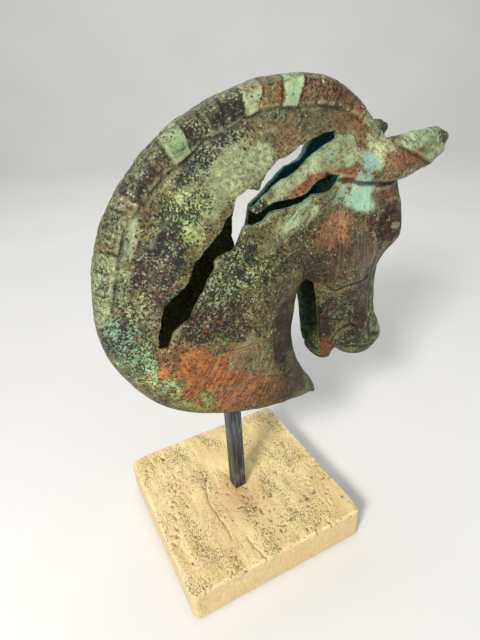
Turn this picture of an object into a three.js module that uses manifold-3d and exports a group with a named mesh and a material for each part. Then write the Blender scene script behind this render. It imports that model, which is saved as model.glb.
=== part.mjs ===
// Bronze horse head on a square steel post and a travertine base.
// Millimetres, +Z up, +X the way the horse looks, -Y the horse's right side.
// The origin is the centre of the underside of the base.
import * as THREE from "three";
import { mergeVertices } from "three/addons/utils/BufferGeometryUtils.js";
import Module from "manifold-3d";

// ---- driving dimensions ----
const GAP = 0.3; // clearance between neighbouring pieces

const FELT = { side: 140, thickness: 1.5, corner: 6 };
const SLAB = { side: 150, top: 31.5, corner: 2.2, worn: 1.4 };
const BORE = { radius: 3.5, counterRadius: 10, counterDepth: 9 };
const WASHER = { inner: 3.4, outer: 9, thickness: 1.2 };
const SCREW = { shank: 2.9, head: 5, headHeight: 5, tip: 50, socket: 2.6, socketDepth: 2.6 };
const OVERLAP = 1; // how far a joined or cutting shape runs past the face it meets
const ROUND_SIDES = 32; // flat sides of a large round shape
const SMALL_ROUND_SIDES = 24; // and of a small one
const HEX_SIDES = 6;

const POST = { side: 10.7, top: 158, turn: 4.7, tap: 3.2, tapDepth: 22 };
const STUD = { radius: 2.9, below: 16, above: 9 };
const BRACKET = { width: 16, thickness: 5, length: 130 };

const WALL = 4.5; // thickness of the bronze
const NECK_CELL = new THREE.Vector3(9, 5, 9); // mesh cell of the outer surface on the neck and the mane
const HEAD_CELL = new THREE.Vector3(7, 4.5, 7); // and on the head
const EAR_CELL = new THREE.Vector3(4.5, 4, 4);
const CORE_CELL = new THREE.Vector3(13, 6, 13); // mesh cell of the hollow inside
const ROUNDNESS = 2.3; // exponent of the rounding from the flanks to the edges
const RELIEF_SOFTNESS = 20; // how far the relief may pass beside its given widths
const LOOP_SPAN = 6; // straight steps between two points of a smooth outline
const HALF_WIDTH_LIMITS = [3, 45];
const ROUNDING_LIMITS = [2.5, 25];
const THINNEST_CORE = { half: 0.5, rounding: 1.5 }; // least half width and rounding of the hollow

// ---- side outline of the bronze, x and z in turn ----
const CREST = [
  [134, 288], [130, 300], [121, 313], [110, 325], [97, 336], [80, 344.5], [60, 348], [38, 347.5],
  [14, 342.5], [-8, 335], [-28, 325], [-46, 310.5], [-63, 293], [-75, 273], [-82.5, 252], [-86, 232],
];
const NECK_EDGE = [
  [-87, 212], [-83, 191], [-74, 172], [-61, 155], [-43, 143], [-20, 135], [8, 129], [36, 123],
  [56, 117], [66, 112], [71.5, 114], [69, 124], [61, 136], [54, 151], [49.5, 168], [48.5, 186],
  [51, 202], [57, 215],
];
const JAW_EDGE = [
  [63, 214], [66.5, 200], [68, 184], [69, 168], [70.5, 154], [74, 143], [80, 138.5], [86, 140],
];
const FACE_EDGE = [
  [89, 147], [93.5, 144], [102, 136], [112, 132], [121, 133.5], [129, 140], [134.5, 149],
  [135, 160], [130.5, 172], [129.5, 188], [130, 204], [132.5, 218], [137, 230], [140, 245],
  [139.5, 258], [137, 273],
];

// ---- relief: x, z, half width of the bronze there, depth of the rounding at its edge ----
const RELIEF = [
  // rim of the crest
  [134, 288, 14, 8], [121, 313, 9, 5], [97, 336, 9, 5], [60, 348, 9, 5], [14, 342.5, 9, 5],
  [-28, 325, 9, 5], [-63, 293, 9, 5], [-82.5, 252, 9, 6], [-87, 222, 9, 8],
  // inner line of the mane
  [112, 303, 15, 7], [98, 318, 12, 5], [60, 331, 12, 5], [19, 331, 12, 5], [-12, 317, 12, 5],
  [-41, 298, 12, 5], [-62, 270, 13, 6], [-74, 240, 14, 8],
  // rear edge of the neck
  [-86, 205, 14, 11], [-74, 180, 19, 13], [-58, 160, 25, 13], [-30, 143, 31, 13],
  // flank of the neck
  [40, 318, 17, 10], [0, 305, 18, 10], [-30, 285, 19, 12], [-50, 255, 21, 14], [-58, 225, 24, 16],
  [-50, 195, 29, 17], [60, 300, 24, 10], [20, 292, 25, 12], [-12, 270, 26, 14], [-28, 240, 28, 16],
  [-25, 205, 33, 18], [-10, 175, 35, 16], [0, 245, 31, 18], [15, 215, 34, 18], [15, 180, 35, 17],
  [30, 160, 35, 15], [20, 140, 35, 13], [55, 130, 25, 11], [67, 116, 17, 8], [40, 240, 30, 16],
  [40, 205, 27, 16], [48, 180, 20, 16], [52, 155, 21, 15], [56, 214, 18, 12],
  // crown, temple and brow
  [60, 285, 29, 12], [75, 300, 26, 12], [90, 290, 29, 14], [100, 305, 21, 10], [120, 292, 21, 12],
  [128, 280, 22, 12], [132, 262, 24, 12], [122, 252, 34, 13], [113, 262, 31, 14],
  [108, 245, 34, 14], [130, 240, 28, 12], [136, 248, 22, 11],
  // cheek and jaw
  [70, 262, 31, 16], [85, 250, 33, 16], [68, 240, 32, 16], [85, 228, 33, 16], [64, 222, 24, 11],
  [75, 212, 27, 12], [95, 213, 28, 14], [70, 190, 17, 6], [84, 190, 19, 8],
  // face and nose
  [112, 225, 25, 14], [130, 222, 15, 11], [108, 205, 22, 14], [127, 195, 13, 11],
  [106, 185, 20, 13], [124, 178, 15, 11],
  // muzzle and chin
  [98, 165, 20, 11], [116, 160, 21, 13], [131, 158, 16, 10], [125, 148, 20, 11],
  [110, 145, 20, 12], [114, 134, 16, 10], [96, 148, 17, 9], [80, 165, 16.5, 6],
  [78, 150, 14.5, 6], [80, 140, 12, 6],
];

// ---- ears: points along the axis of the left ear, with half height and half thickness ----
const EAR = [
  { at: [84, 22, 291], half: 9, thick: 7 },
  { at: [104, 25, 293], half: 14, thick: 8.5 },
  { at: [122, 27.5, 294], half: 14.5, thick: 6.5 },
  { at: [144, 29, 299], half: 12, thick: 4 },
  { at: [155, 29, 302], half: 8.5, thick: 3 },
  { at: [162.5, 29, 304], half: 4, thick: 2.4 },
];
const EAR_LEAN = 0.22; // how far an ear's top leans out for each unit up

// ---- lines that part the bronze, x and z in turn ----
const MANE_LINE = [
  [146, 288], [116, 304], [98, 321], [72, 330], [27, 332], [-13, 317], [-42, 299], [-62, 278],
  [-73, 250], [-80, 228], [-98, 214],
];
const MANE_OUTSIDE = [[-150, 260], [-80, 400], [100, 400], [190, 320]];
const HEAD_SEAM = [[96, 382], [57, 214], [60, 200], [61, 160], [68, 140], [82, 125], [90, 100]];
const HEAD_OUTSIDE = [[200, 100], [200, 382]];
const DISC_CENTRE = new THREE.Vector2(10, 235);
const THROAT_TOP = 214;
const NECK_LIP_TOP = 130;
const JAW_REAR = 62;

// ---- boxes that hold each field's surface ----
const NECK_BOX = { low: [-100, -45, 102], high: [150, 45, 360] };
const HEAD_BOX = { low: [35, -45, 120], high: [152, 45, 350] };
const CORE_BOX = { low: [-100, -45, 102], high: [152, 45, 360] };
const EAR_BOX = { low: [68, 5, 270], high: [178, 47, 322] };

// ---- openings in the walls, x and z in turn ----
const RIGHT_TEAR = [
  // upper edge, from the low end forwards
  [-56, 206], [-54, 217], [-49, 231], [-44, 236], [-35, 241], [-30, 247], [-26, 256], [-19, 262],
  [-10, 269], [-6, 275], [1, 282], [3, 287], [11, 291], [17, 289], [24, 298], [30, 302],
  [40, 305], [48, 309], [61, 312.5], [76.5, 315.3],
  // the tongue that is left standing between the two slits
  [76, 311.5], [71, 309.7], [58, 304], [53, 302], [48, 298], [43, 296], [33, 293], [22, 288],
  [16, 284], [11, 280], [11, 278.5], [14, 277], [25, 281], [36, 281], [49, 283], [54, 287],
  [66, 291], [73, 290],
  // lower edge, back to the low end
  [73, 288], [67, 283], [62, 282], [53, 282], [47, 278], [30, 277], [23, 276], [17, 272],
  [12, 271], [7, 272], [4, 270], [2, 266], [-3, 259], [-10, 257], [-15, 254], [-17, 248],
  [-25, 236], [-32, 228], [-36, 221], [-43, 218], [-47, 213], [-51, 205],
];
const LEFT_TEAR = [
  [26, 234], [32, 244], [35, 254], [38, 265], [47, 272], [52, 276], [60, 284], [66, 288],
  [79, 291], [82, 296], [84, 303], [80, 309], [64, 305], [49, 299], [36, 290], [27, 277],
  [25, 262], [24, 245],
];
const JAW_SLOT = { outline: [[60, 213], [60, 147], [76, 147], [86, 160], [86, 213]], half: 12 };
const NECK_MOUTH = { halfLength: 42, radius: 17, bottom: 100, top: 154 };

const COLOURS = {
  felt: 0x2c2b29,
  travertine: 0xe3cb93,
  zinc: 0xb9bcbe,
  steel: 0x2b2f33,
  verdigris: 0x76805a,
  mane: 0x7c8f63,
  rust: 0x7a5236,
  ear: 0x80684a,
};

// ---- solids ----
const wasm = await Module();
wasm.setup();
const { Manifold, Mesh: ManifoldMesh } = wasm;

function solidOf(geometry) {
  const bare = new THREE.BufferGeometry().setAttribute("position", geometry.getAttribute("position"));
  bare.setIndex(geometry.getIndex());
  const merged = mergeVertices(bare, 1e-4);
  return new Manifold(
    new ManifoldMesh({
      numProp: 3,
      vertProperties: new Float32Array(merged.attributes.position.array),
      triVerts: new Uint32Array(merged.index.array),
    }),
  );
}

function geometryOf(solid) {
  const { vertProperties, triVerts } = solid.getMesh();
  const geometry = new THREE.BufferGeometry();
  geometry.setAttribute("position", new THREE.BufferAttribute(vertProperties, 3));
  geometry.setIndex(new THREE.BufferAttribute(triVerts, 1));
  return geometry;
}

function shapeOf(points) {
  return new THREE.Shape(points.map(([x, y]) => new THREE.Vector2(x, y)));
}

// A side outline (x, z) pushed along Y from one side to the other.
function sideways(points, fromY, toY) {
  const geometry = new THREE.ExtrudeGeometry(shapeOf(points), { depth: toY - fromY, bevelEnabled: false });
  geometry.rotateX(Math.PI / 2);
  geometry.translate(0, toY, 0);
  return solidOf(geometry);
}

// A round bar along Z.
function roundBar(radius, bottom, top, segments = ROUND_SIDES) {
  const geometry = new THREE.CylinderGeometry(radius, radius, top - bottom, segments);
  geometry.rotateX(Math.PI / 2);
  geometry.translate(0, 0, (bottom + top) / 2);
  return solidOf(geometry);
}

function roundedSquare(side, corner) {
  const half = side / 2;
  const turn = half - corner;
  const shape = new THREE.Shape();
  shape.moveTo(-turn, -half);
  shape.absarc(turn, -turn, corner, -Math.PI / 2, 0);
  shape.absarc(turn, turn, corner, 0, Math.PI / 2);
  shape.absarc(-turn, turn, corner, Math.PI / 2, Math.PI);
  shape.absarc(-turn, -turn, corner, Math.PI, 1.5 * Math.PI);
  return shape;
}

// ---- the bronze as a field: below zero inside the metal's outer surface ----
function smoothLoop(points) {
  const corners = points.map(([x, z]) => new THREE.Vector3(x, z, 0));
  const curve = new THREE.CatmullRomCurve3(corners, true, "catmullrom", 0.5);
  return curve.getPoints(points.length * LOOP_SPAN).slice(0, -1);
}

// Distance from a point to a closed outline, above zero inside it.
function depthInside(loop, x, z) {
  let nearest = Infinity;
  let inside = false;
  for (let i = 0, j = loop.length - 1; i < loop.length; j = i++) {
    const a = loop[j];
    const b = loop[i];
    const edgeX = b.x - a.x;
    const edgeZ = b.y - a.y;
    const along = ((x - a.x) * edgeX + (z - a.y) * edgeZ) / (edgeX * edgeX + edgeZ * edgeZ);
    const t = THREE.MathUtils.clamp(along, 0, 1);
    nearest = Math.min(nearest, Math.hypot(x - a.x - t * edgeX, z - a.y - t * edgeZ));
    if (a.y > z !== b.y > z && x < a.x + ((z - a.y) * edgeX) / edgeZ) inside = !inside;
  }
  return inside ? nearest : -nearest;
}

const plateBend = (r) => (r > 1e-9 ? r * r * Math.log(r) : 0);

// Solves a square set of linear equations by elimination.
function solve(matrix, values) {
  const rows = matrix.map((row, i) => [...row, values[i]]);
  const size = rows.length;
  for (let c = 0; c < size; c++) {
    let pivot = c;
    for (let r = c + 1; r < size; r++) if (Math.abs(rows[r][c]) > Math.abs(rows[pivot][c])) pivot = r;
    [rows[c], rows[pivot]] = [rows[pivot], rows[c]];
    for (let r = 0; r < size; r++) {
      if (r === c) continue;
      const scale = rows[r][c] / rows[c][c];
      for (let k = c; k <= size; k++) rows[r][k] -= scale * rows[c][k];
    }
  }
  return rows.map((row, i) => row[size] / row[i]);
}

// A smooth sheet (a bent thin plate) over the side view through one column of the relief.
function reliefSheet(column) {
  const count = RELIEF.length;
  const plane = ([x, z]) => [1, x, z];
  const pull = (a, b) => plateBend(Math.hypot(a[0] - b[0], a[1] - b[1])) + (a === b ? RELIEF_SOFTNESS : 0);
  const matrix = RELIEF.map((a) => [...RELIEF.map((b) => pull(a, b)), ...plane(a)]);
  for (let k = 0; k < 3; k++) matrix.push([...RELIEF.map((a) => plane(a)[k]), 0, 0, 0]);
  const weights = solve(matrix, [...RELIEF.map((a) => a[column]), 0, 0, 0]);
  return (x, z) => {
    let height = weights[count] + weights[count + 1] * x + weights[count + 2] * z;
    RELIEF.forEach(([px, pz], i) => (height += weights[i] * plateBend(Math.hypot(x - px, z - pz))));
    return height;
  };
}

const outline = smoothLoop([...CREST, ...NECK_EDGE, ...JAW_EDGE, ...FACE_EDGE]);
const halfWidthAt = reliefSheet(2);
const roundingAt = reliefSheet(3);
const column = new Map();

// Depth, half width and rounding depend on x and z only, so each pair is worked out once.
function reliefAt(x, z) {
  const key = `${x},${z}`;
  if (!column.has(key)) {
    column.set(key, {
      depth: depthInside(outline, x, z),
      half: THREE.MathUtils.clamp(halfWidthAt(x, z), ...HALF_WIDTH_LIMITS),
      rounding: THREE.MathUtils.clamp(roundingAt(x, z), ...ROUNDING_LIMITS),
    });
  }
  return column.get(key);
}

function bodyField(x, y, z, inset) {
  const relief = reliefAt(x, z);
  const half = Math.max(relief.half - inset, THINNEST_CORE.half);
  const rounding = Math.max(relief.rounding - inset / 2, THINNEST_CORE.rounding);
  const edge = Math.max(0, 1 - (relief.depth - inset) / rounding);
  const reach = (edge ** ROUNDNESS + (Math.abs(y) / half) ** ROUNDNESS) ** (1 / ROUNDNESS);
  return (reach - 1) * Math.min(half, 2 * rounding);
}

function earField(x, y, z) {
  let nearest = Infinity;
  for (let i = 0; i + 1 < EAR.length; i++) {
    const root = new THREE.Vector3(...EAR[i].at);
    const along = new THREE.Vector3(...EAR[i + 1].at).sub(root);
    const reach = new THREE.Vector3(x, y, z).sub(root);
    const t = THREE.MathUtils.clamp(reach.dot(along) / along.lengthSq(), 0, 1);
    reach.addScaledVector(along, -t);
    const axis = along.clone().normalize();
    const up = new THREE.Vector3(0, -EAR_LEAN, 1);
    up.addScaledVector(axis, -up.dot(axis)).normalize();
    const side = new THREE.Vector3().crossVectors(axis, up);
    const half = THREE.MathUtils.lerp(EAR[i].half, EAR[i + 1].half, t);
    const thick = THREE.MathUtils.lerp(EAR[i].thick, EAR[i + 1].thick, t);
    const size = Math.hypot(reach.dot(up) / half, reach.dot(side) / thick, reach.dot(axis) / thick);
    nearest = Math.min(nearest, (size - 1) * Math.min(half, thick));
  }
  return nearest;
}

// A closed mesh over the zero level of a field: one vertex in each cell that the level crosses,
// at the mean of its crossings, and one quad across each grid edge that the level crosses.
function levelSurface(field, box, cell) {
  const size = box.getSize(new THREE.Vector3()).divide(cell).ceil().addScalar(1);
  const at = (i, j, k) => (i * size.y + j) * size.z + k;
  const value = new Float64Array(size.x * size.y * size.z).fill(1); // outside, on the faces of the box
  for (let i = 1; i + 1 < size.x; i++)
    for (let j = 1; j + 1 < size.y; j++)
      for (let k = 1; k + 1 < size.z; k++)
        value[at(i, j, k)] = field(box.min.x + i * cell.x, box.min.y + j * cell.y, box.min.z + k * cell.z);

  const corners = [0, 1, 2, 3, 4, 5, 6, 7].map((n) => [n & 1, (n >> 1) & 1, (n >> 2) & 1]);
  const cellVertex = new Map();
  const positions = [];
  for (let i = 0; i + 1 < size.x; i++)
    for (let j = 0; j + 1 < size.y; j++)
      for (let k = 0; k + 1 < size.z; k++) {
        const sum = new THREE.Vector3();
        let crossings = 0;
        for (const [a, b, c] of corners)
          for (const [da, db, dc] of [[1, 0, 0], [0, 1, 0], [0, 0, 1]]) {
            if (a + da > 1 || b + db > 1 || c + dc > 1) continue;
            const from = value[at(i + a, j + b, k + c)];
            const to = value[at(i + a + da, j + b + db, k + c + dc)];
            if (from < 0 === to < 0) continue;
            const t = from / (from - to);
            sum.add(new THREE.Vector3(i + a + t * da, j + b + t * db, k + c + t * dc));
            crossings++;
          }
        if (!crossings) continue;
        cellVertex.set(at(i, j, k), positions.length / 3);
        sum.divideScalar(crossings).multiply(cell).add(box.min);
        positions.push(sum.x, sum.y, sum.z);
      }

  const index = [];
  const steps = [
    { along: [1, 0, 0], u: [0, 1, 0], v: [0, 0, 1] },
    { along: [0, 1, 0], u: [0, 0, 1], v: [1, 0, 0] },
    { along: [0, 0, 1], u: [1, 0, 0], v: [0, 1, 0] },
  ];
  for (let i = 0; i + 1 < size.x; i++)
    for (let j = 0; j + 1 < size.y; j++)
      for (let k = 0; k + 1 < size.z; k++)
        for (const { along, u, v } of steps) {
          const cellsBack = ([a, b, c]) => i * a + j * b + k * c;
          if (cellsBack(u) < 1 || cellsBack(v) < 1) continue;
          const inside = value[at(i, j, k)] < 0;
          if (inside === value[at(i + along[0], j + along[1], k + along[2])] < 0) continue;
          const back = (s, t) => {
            const [a, b, c] = [0, 1, 2].map((n) => s * u[n] + t * v[n]);
            return cellVertex.get(at(i - a, j - b, k - c));
          };
          const quad = [back(1, 1), back(0, 1), back(0, 0), back(1, 0)];
          if (!inside) quad.reverse();
          index.push(quad[0], quad[1], quad[2], quad[0], quad[2], quad[3]);
        }
  const geometry = new THREE.BufferGeometry();
  geometry.setAttribute("position", new THREE.Float32BufferAttribute(positions, 3));
  geometry.setIndex(index);
  return geometry;
}

// The same closed surface with every vertex moved out along its normal.
function grown(geometry, distance) {
  const copy = geometry.clone();
  copy.computeVertexNormals();
  const position = copy.getAttribute("position");
  const normal = copy.getAttribute("normal");
  for (let i = 0; i < position.count; i++)
    position.setXYZ(
      i,
      position.getX(i) + distance * normal.getX(i),
      position.getY(i) + distance * normal.getY(i),
      position.getZ(i) + distance * normal.getZ(i),
    );
  return copy;
}

const box3 = ({ low, high }) => new THREE.Box3(new THREE.Vector3(...low), new THREE.Vector3(...high));
const bronze = (x, y, z) => bodyField(x, y, z, 0);
const isJaw = (x, z) => x > JAW_REAR && z > NECK_LIP_TOP && z < THROAT_TOP;
const bronzeWithoutJaw = (x, y, z) => (isJaw(x, z) ? 1 : bronze(x, y, z));
const hollow = (x, y, z) => bodyField(x, y, z, WALL);

const neckSkin = levelSurface(bronzeWithoutJaw, box3(NECK_BOX), NECK_CELL);
const headSkin = levelSurface(bronze, box3(HEAD_BOX), HEAD_CELL);
const core = levelSurface(hollow, box3(CORE_BOX), CORE_CELL);
const earLeaf = levelSurface(earField, box3(EAR_BOX), EAR_CELL);

// ---- the bronze parted into its castings ----
const halfGap = GAP / 2;
const FAR = 200; // beyond every face of the bronze

// Points moved away from the middle of the neck's disc.
function movedOut(points, distance) {
  return points.map(([x, z]) => {
    const arm = new THREE.Vector2(x, z).sub(DISC_CENTRE);
    arm.setLength(arm.length() + distance).add(DISC_CENTRE);
    return [arm.x, arm.y];
  });
}

const maneRegion = (gap) => sideways([...movedOut(MANE_LINE, gap), ...MANE_OUTSIDE], -FAR, FAR);

function headRegion(gap) {
  const seam = HEAD_SEAM.map(([x, z]) => [x + gap, z]);
  return sideways([...seam, ...HEAD_OUTSIDE], -FAR, FAR);
}

function neckMouth() {
  const { halfLength, radius, bottom, top } = NECK_MOUTH;
  const shape = new THREE.Shape();
  shape.absarc(halfLength - radius, 0, radius, -Math.PI / 2, Math.PI / 2);
  shape.absarc(radius - halfLength, 0, radius, Math.PI / 2, 1.5 * Math.PI);
  const geometry = new THREE.ExtrudeGeometry(shape, {
    depth: top - bottom,
    bevelEnabled: false,
    curveSegments: 8,
  });
  geometry.translate(0, 0, bottom);
  return solidOf(geometry);
}

function shellOf(skin) {
  return solidOf(skin)
    .subtract(solidOf(core))
    .subtract(sideways(JAW_SLOT.outline, -JAW_SLOT.half, JAW_SLOT.half))
    .subtract(neckMouth());
}

// The wall of one side: the right side lies at negative y.
function sideWall(shell, isRight) {
  const keep = isRight ? [-FAR, -halfGap] : [halfGap, FAR];
  const square = [[-FAR, -FAR], [FAR, -FAR], [FAR, 2 * FAR], [-FAR, 2 * FAR]];
  const tear = isRight ? sideways(RIGHT_TEAR, -FAR, 0) : sideways(LEFT_TEAR, 0, FAR);
  return shell.subtract(maneRegion(-halfGap)).intersect(sideways(square, ...keep)).subtract(tear);
}

const neckShell = shellOf(neckSkin);
const headShell = shellOf(headSkin);
const neckCasting = (isRight) => sideWall(neckShell, isRight).subtract(headRegion(-halfGap));
const headCasting = (isRight) => sideWall(headShell, isRight).intersect(headRegion(halfGap));

function mirrored(geometry) {
  const copy = geometry.clone().scale(1, -1, 1);
  const index = copy.getIndex();
  for (let i = 0; i < index.count; i += 3) {
    const first = index.getX(i);
    index.setX(i, index.getX(i + 2));
    index.setX(i + 2, first);
  }
  return copy;
}

// An ear is a leaf that ends where it meets the head.
function earCasting(isRight) {
  const leaf = isRight ? mirrored(earLeaf) : earLeaf;
  return solidOf(leaf)
    .subtract(solidOf(grown(headSkin, GAP)))
    .subtract(solidOf(grown(neckSkin, GAP)));
}

// ---- the mount ----
function feltSheet() {
  const shape = roundedSquare(FELT.side, FELT.corner);
  return new THREE.ExtrudeGeometry(shape, { depth: FELT.thickness, bevelEnabled: false, curveSegments: 6 });
}

const slabBottom = FELT.thickness + GAP;
const counterTop = slabBottom + BORE.counterDepth;
const washerBottom = counterTop - GAP - WASHER.thickness;
const headTop = washerBottom - GAP;
const postBottom = SLAB.top + GAP;
const bracketBottom = POST.top + GAP;

function slab() {
  const shape = roundedSquare(SLAB.side - 2 * SLAB.worn, SLAB.corner);
  const geometry = new THREE.ExtrudeGeometry(shape, {
    depth: SLAB.top - slabBottom - 2 * SLAB.worn,
    bevelSize: SLAB.worn,
    bevelThickness: SLAB.worn,
    bevelSegments: 1,
    curveSegments: 3,
  });
  geometry.translate(0, 0, slabBottom + SLAB.worn);
  return solidOf(geometry)
    .subtract(roundBar(BORE.counterRadius, 0, counterTop))
    .subtract(roundBar(BORE.radius, 0, SLAB.top + OVERLAP));
}

function washer() {
  const { inner, outer, thickness } = WASHER;
  const profile = [[inner, 0], [outer, 0], [outer, thickness], [inner, thickness], [inner, 0]];
  const geometry = new THREE.LatheGeometry(
    profile.map(([r, z]) => new THREE.Vector2(r, z)),
    ROUND_SIDES,
  );
  geometry.rotateX(Math.PI / 2);
  return geometry;
}

function screw() {
  const bottom = headTop - SCREW.headHeight;
  return roundBar(SCREW.head, bottom, headTop)
    .add(roundBar(SCREW.shank, headTop - OVERLAP, SCREW.tip, SMALL_ROUND_SIDES))
    .subtract(roundBar(SCREW.socket, bottom - OVERLAP, bottom + SCREW.socketDepth, HEX_SIDES));
}

function post() {
  const length = POST.top - postBottom;
  const bar = new THREE.BoxGeometry(POST.side, POST.side, length);
  bar.translate(0, 0, length / 2);
  return solidOf(bar)
    .subtract(roundBar(POST.tap, -OVERLAP, POST.tapDepth, SMALL_ROUND_SIDES))
    .subtract(roundBar(POST.tap, length - POST.tapDepth, length + OVERLAP, SMALL_ROUND_SIDES));
}

// A flat bar across the inside of the neck, its ends fitted to the wall.
function bracket() {
  const top = bracketBottom + BRACKET.thickness;
  const bar = new THREE.BoxGeometry(BRACKET.length, BRACKET.width, BRACKET.thickness);
  bar.translate(0, 0, (bracketBottom + top) / 2);
  return solidOf(bar)
    .intersect(solidOf(grown(core, -GAP)))
    .subtract(roundBar(POST.tap, bracketBottom - OVERLAP, top + OVERLAP, SMALL_ROUND_SIDES));
}

// ---- the scene ----
const statue = new THREE.Group();

function place(parent, name, shape, colour, roughness, metalness) {
  const geometry = shape.isBufferGeometry ? shape : geometryOf(shape);
  const material = new THREE.MeshStandardMaterial({ color: colour, roughness, metalness });
  const mesh = new THREE.Mesh(geometry, material);
  mesh.name = name;
  parent.add(mesh);
  return mesh;
}

const base = new THREE.Group();
place(base, "base_felt", feltSheet(), COLOURS.felt, 0.95, 0);
place(base, "base_slab", slab(), COLOURS.travertine, 0.75, 0);
place(base, "base_washer", washer(), COLOURS.zinc, 0.4, 1).position.z = washerBottom;
place(base, "base_screw", screw(), COLOURS.zinc, 0.4, 1);
statue.add(base);

const mount = new THREE.Group();
mount.position.z = postBottom;
mount.rotation.z = THREE.MathUtils.degToRad(POST.turn);
place(mount, "post", post(), COLOURS.steel, 0.45, 0.9);
statue.add(mount);
const stud = roundBar(STUD.radius, POST.top - STUD.below, POST.top + STUD.above, SMALL_ROUND_SIDES);
place(statue, "post_stud", stud, COLOURS.zinc, 0.4, 1);
place(statue, "neck_bracket", bracket(), COLOURS.steel, 0.5, 0.9);

const bust = new THREE.Group();
for (const side of ["right", "left"]) {
  const isRight = side === "right";
  place(bust, `neck_${side}`, neckCasting(isRight), COLOURS.verdigris, 0.55, 0.6);
  place(bust, `head_${side}`, headCasting(isRight), COLOURS.rust, 0.5, 0.6);
  place(bust, `ear_${side}`, earCasting(isRight), COLOURS.ear, 0.5, 0.6);
}
place(bust, "mane_crest", neckShell.intersect(maneRegion(halfGap)), COLOURS.mane, 0.55, 0.6);
statue.add(bust);

export default statue;
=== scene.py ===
"""Bronze horse head on a square post and a travertine base: the finished looks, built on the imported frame.

Shapes are worked out in millimetres and written to Blender in metres. X is the way the horse looks, Y
points to its left side and Z is up. "right" is the horse's right wall, at negative Y.
"""
import math

import bpy
import numpy as np
from mathutils import Matrix, Vector


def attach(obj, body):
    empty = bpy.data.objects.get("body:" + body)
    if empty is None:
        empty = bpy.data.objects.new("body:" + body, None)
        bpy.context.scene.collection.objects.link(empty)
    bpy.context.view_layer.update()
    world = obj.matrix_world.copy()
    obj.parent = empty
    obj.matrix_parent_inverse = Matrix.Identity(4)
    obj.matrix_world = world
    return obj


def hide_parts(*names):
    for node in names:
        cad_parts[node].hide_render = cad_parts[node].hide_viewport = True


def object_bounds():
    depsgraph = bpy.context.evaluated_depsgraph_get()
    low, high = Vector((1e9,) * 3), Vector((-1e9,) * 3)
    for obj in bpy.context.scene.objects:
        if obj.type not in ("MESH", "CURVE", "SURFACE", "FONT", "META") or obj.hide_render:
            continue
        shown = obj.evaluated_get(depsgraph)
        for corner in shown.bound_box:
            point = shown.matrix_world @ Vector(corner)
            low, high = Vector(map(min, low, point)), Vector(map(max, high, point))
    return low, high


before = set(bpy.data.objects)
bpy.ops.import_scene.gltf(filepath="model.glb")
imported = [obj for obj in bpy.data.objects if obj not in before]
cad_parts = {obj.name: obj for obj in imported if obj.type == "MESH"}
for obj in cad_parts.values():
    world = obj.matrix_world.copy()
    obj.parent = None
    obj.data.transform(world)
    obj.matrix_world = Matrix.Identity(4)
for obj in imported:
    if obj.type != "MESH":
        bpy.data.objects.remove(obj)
cad_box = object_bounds()

METRES = 0.001  # one millimetre
BRONZE_STEP = 1.0  # mesh size of the bronze, mm
STONE_STEP = 1.0  # mesh size of the base, mm
SEED = 7

# ---------------------------------------------------------------- the bronze's form, as in the CAD model
WALL = 4.5
ROUNDNESS = 2.3  # exponent of the cross-section: 2 is an ellipse, more is squarer
RELIEF_SOFTNESS = 20.0  # how far the sheets may pass from the relief points
LOOP_SPAN = 6  # curve points between two given ones

CREST = [
    (134, 288), (130, 300), (121, 313), (110, 325), (97, 336), (80, 344.5), (60, 348), (38, 347.5),
    (14, 342.5), (-8, 335), (-28, 325), (-46, 310.5), (-63, 293), (-75, 273), (-82.5, 252), (-86, 232),
]
NECK_EDGE = [
    (-87, 212), (-83, 191), (-74, 172), (-61, 155), (-43, 143), (-20, 135), (8, 129), (36, 123),
    (56, 117), (66, 112), (71.5, 114), (69, 124), (61, 136), (54, 151), (49.5, 168), (48.5, 186),
    (51, 202), (57, 215),
]
JAW_EDGE = [
    (63, 214), (66.5, 200), (68, 184), (69, 168), (70.5, 154), (74, 143), (80, 138.5), (86, 140),
]
FACE_EDGE = [
    (89, 147), (93.5, 144), (102, 136), (112, 132), (121, 133.5), (129, 140), (134.5, 149),
    (135, 160), (130.5, 172), (129.5, 188), (130, 204), (132.5, 218), (137, 230), (140, 245),
    (139.5, 258), (137, 273),
]

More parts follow.
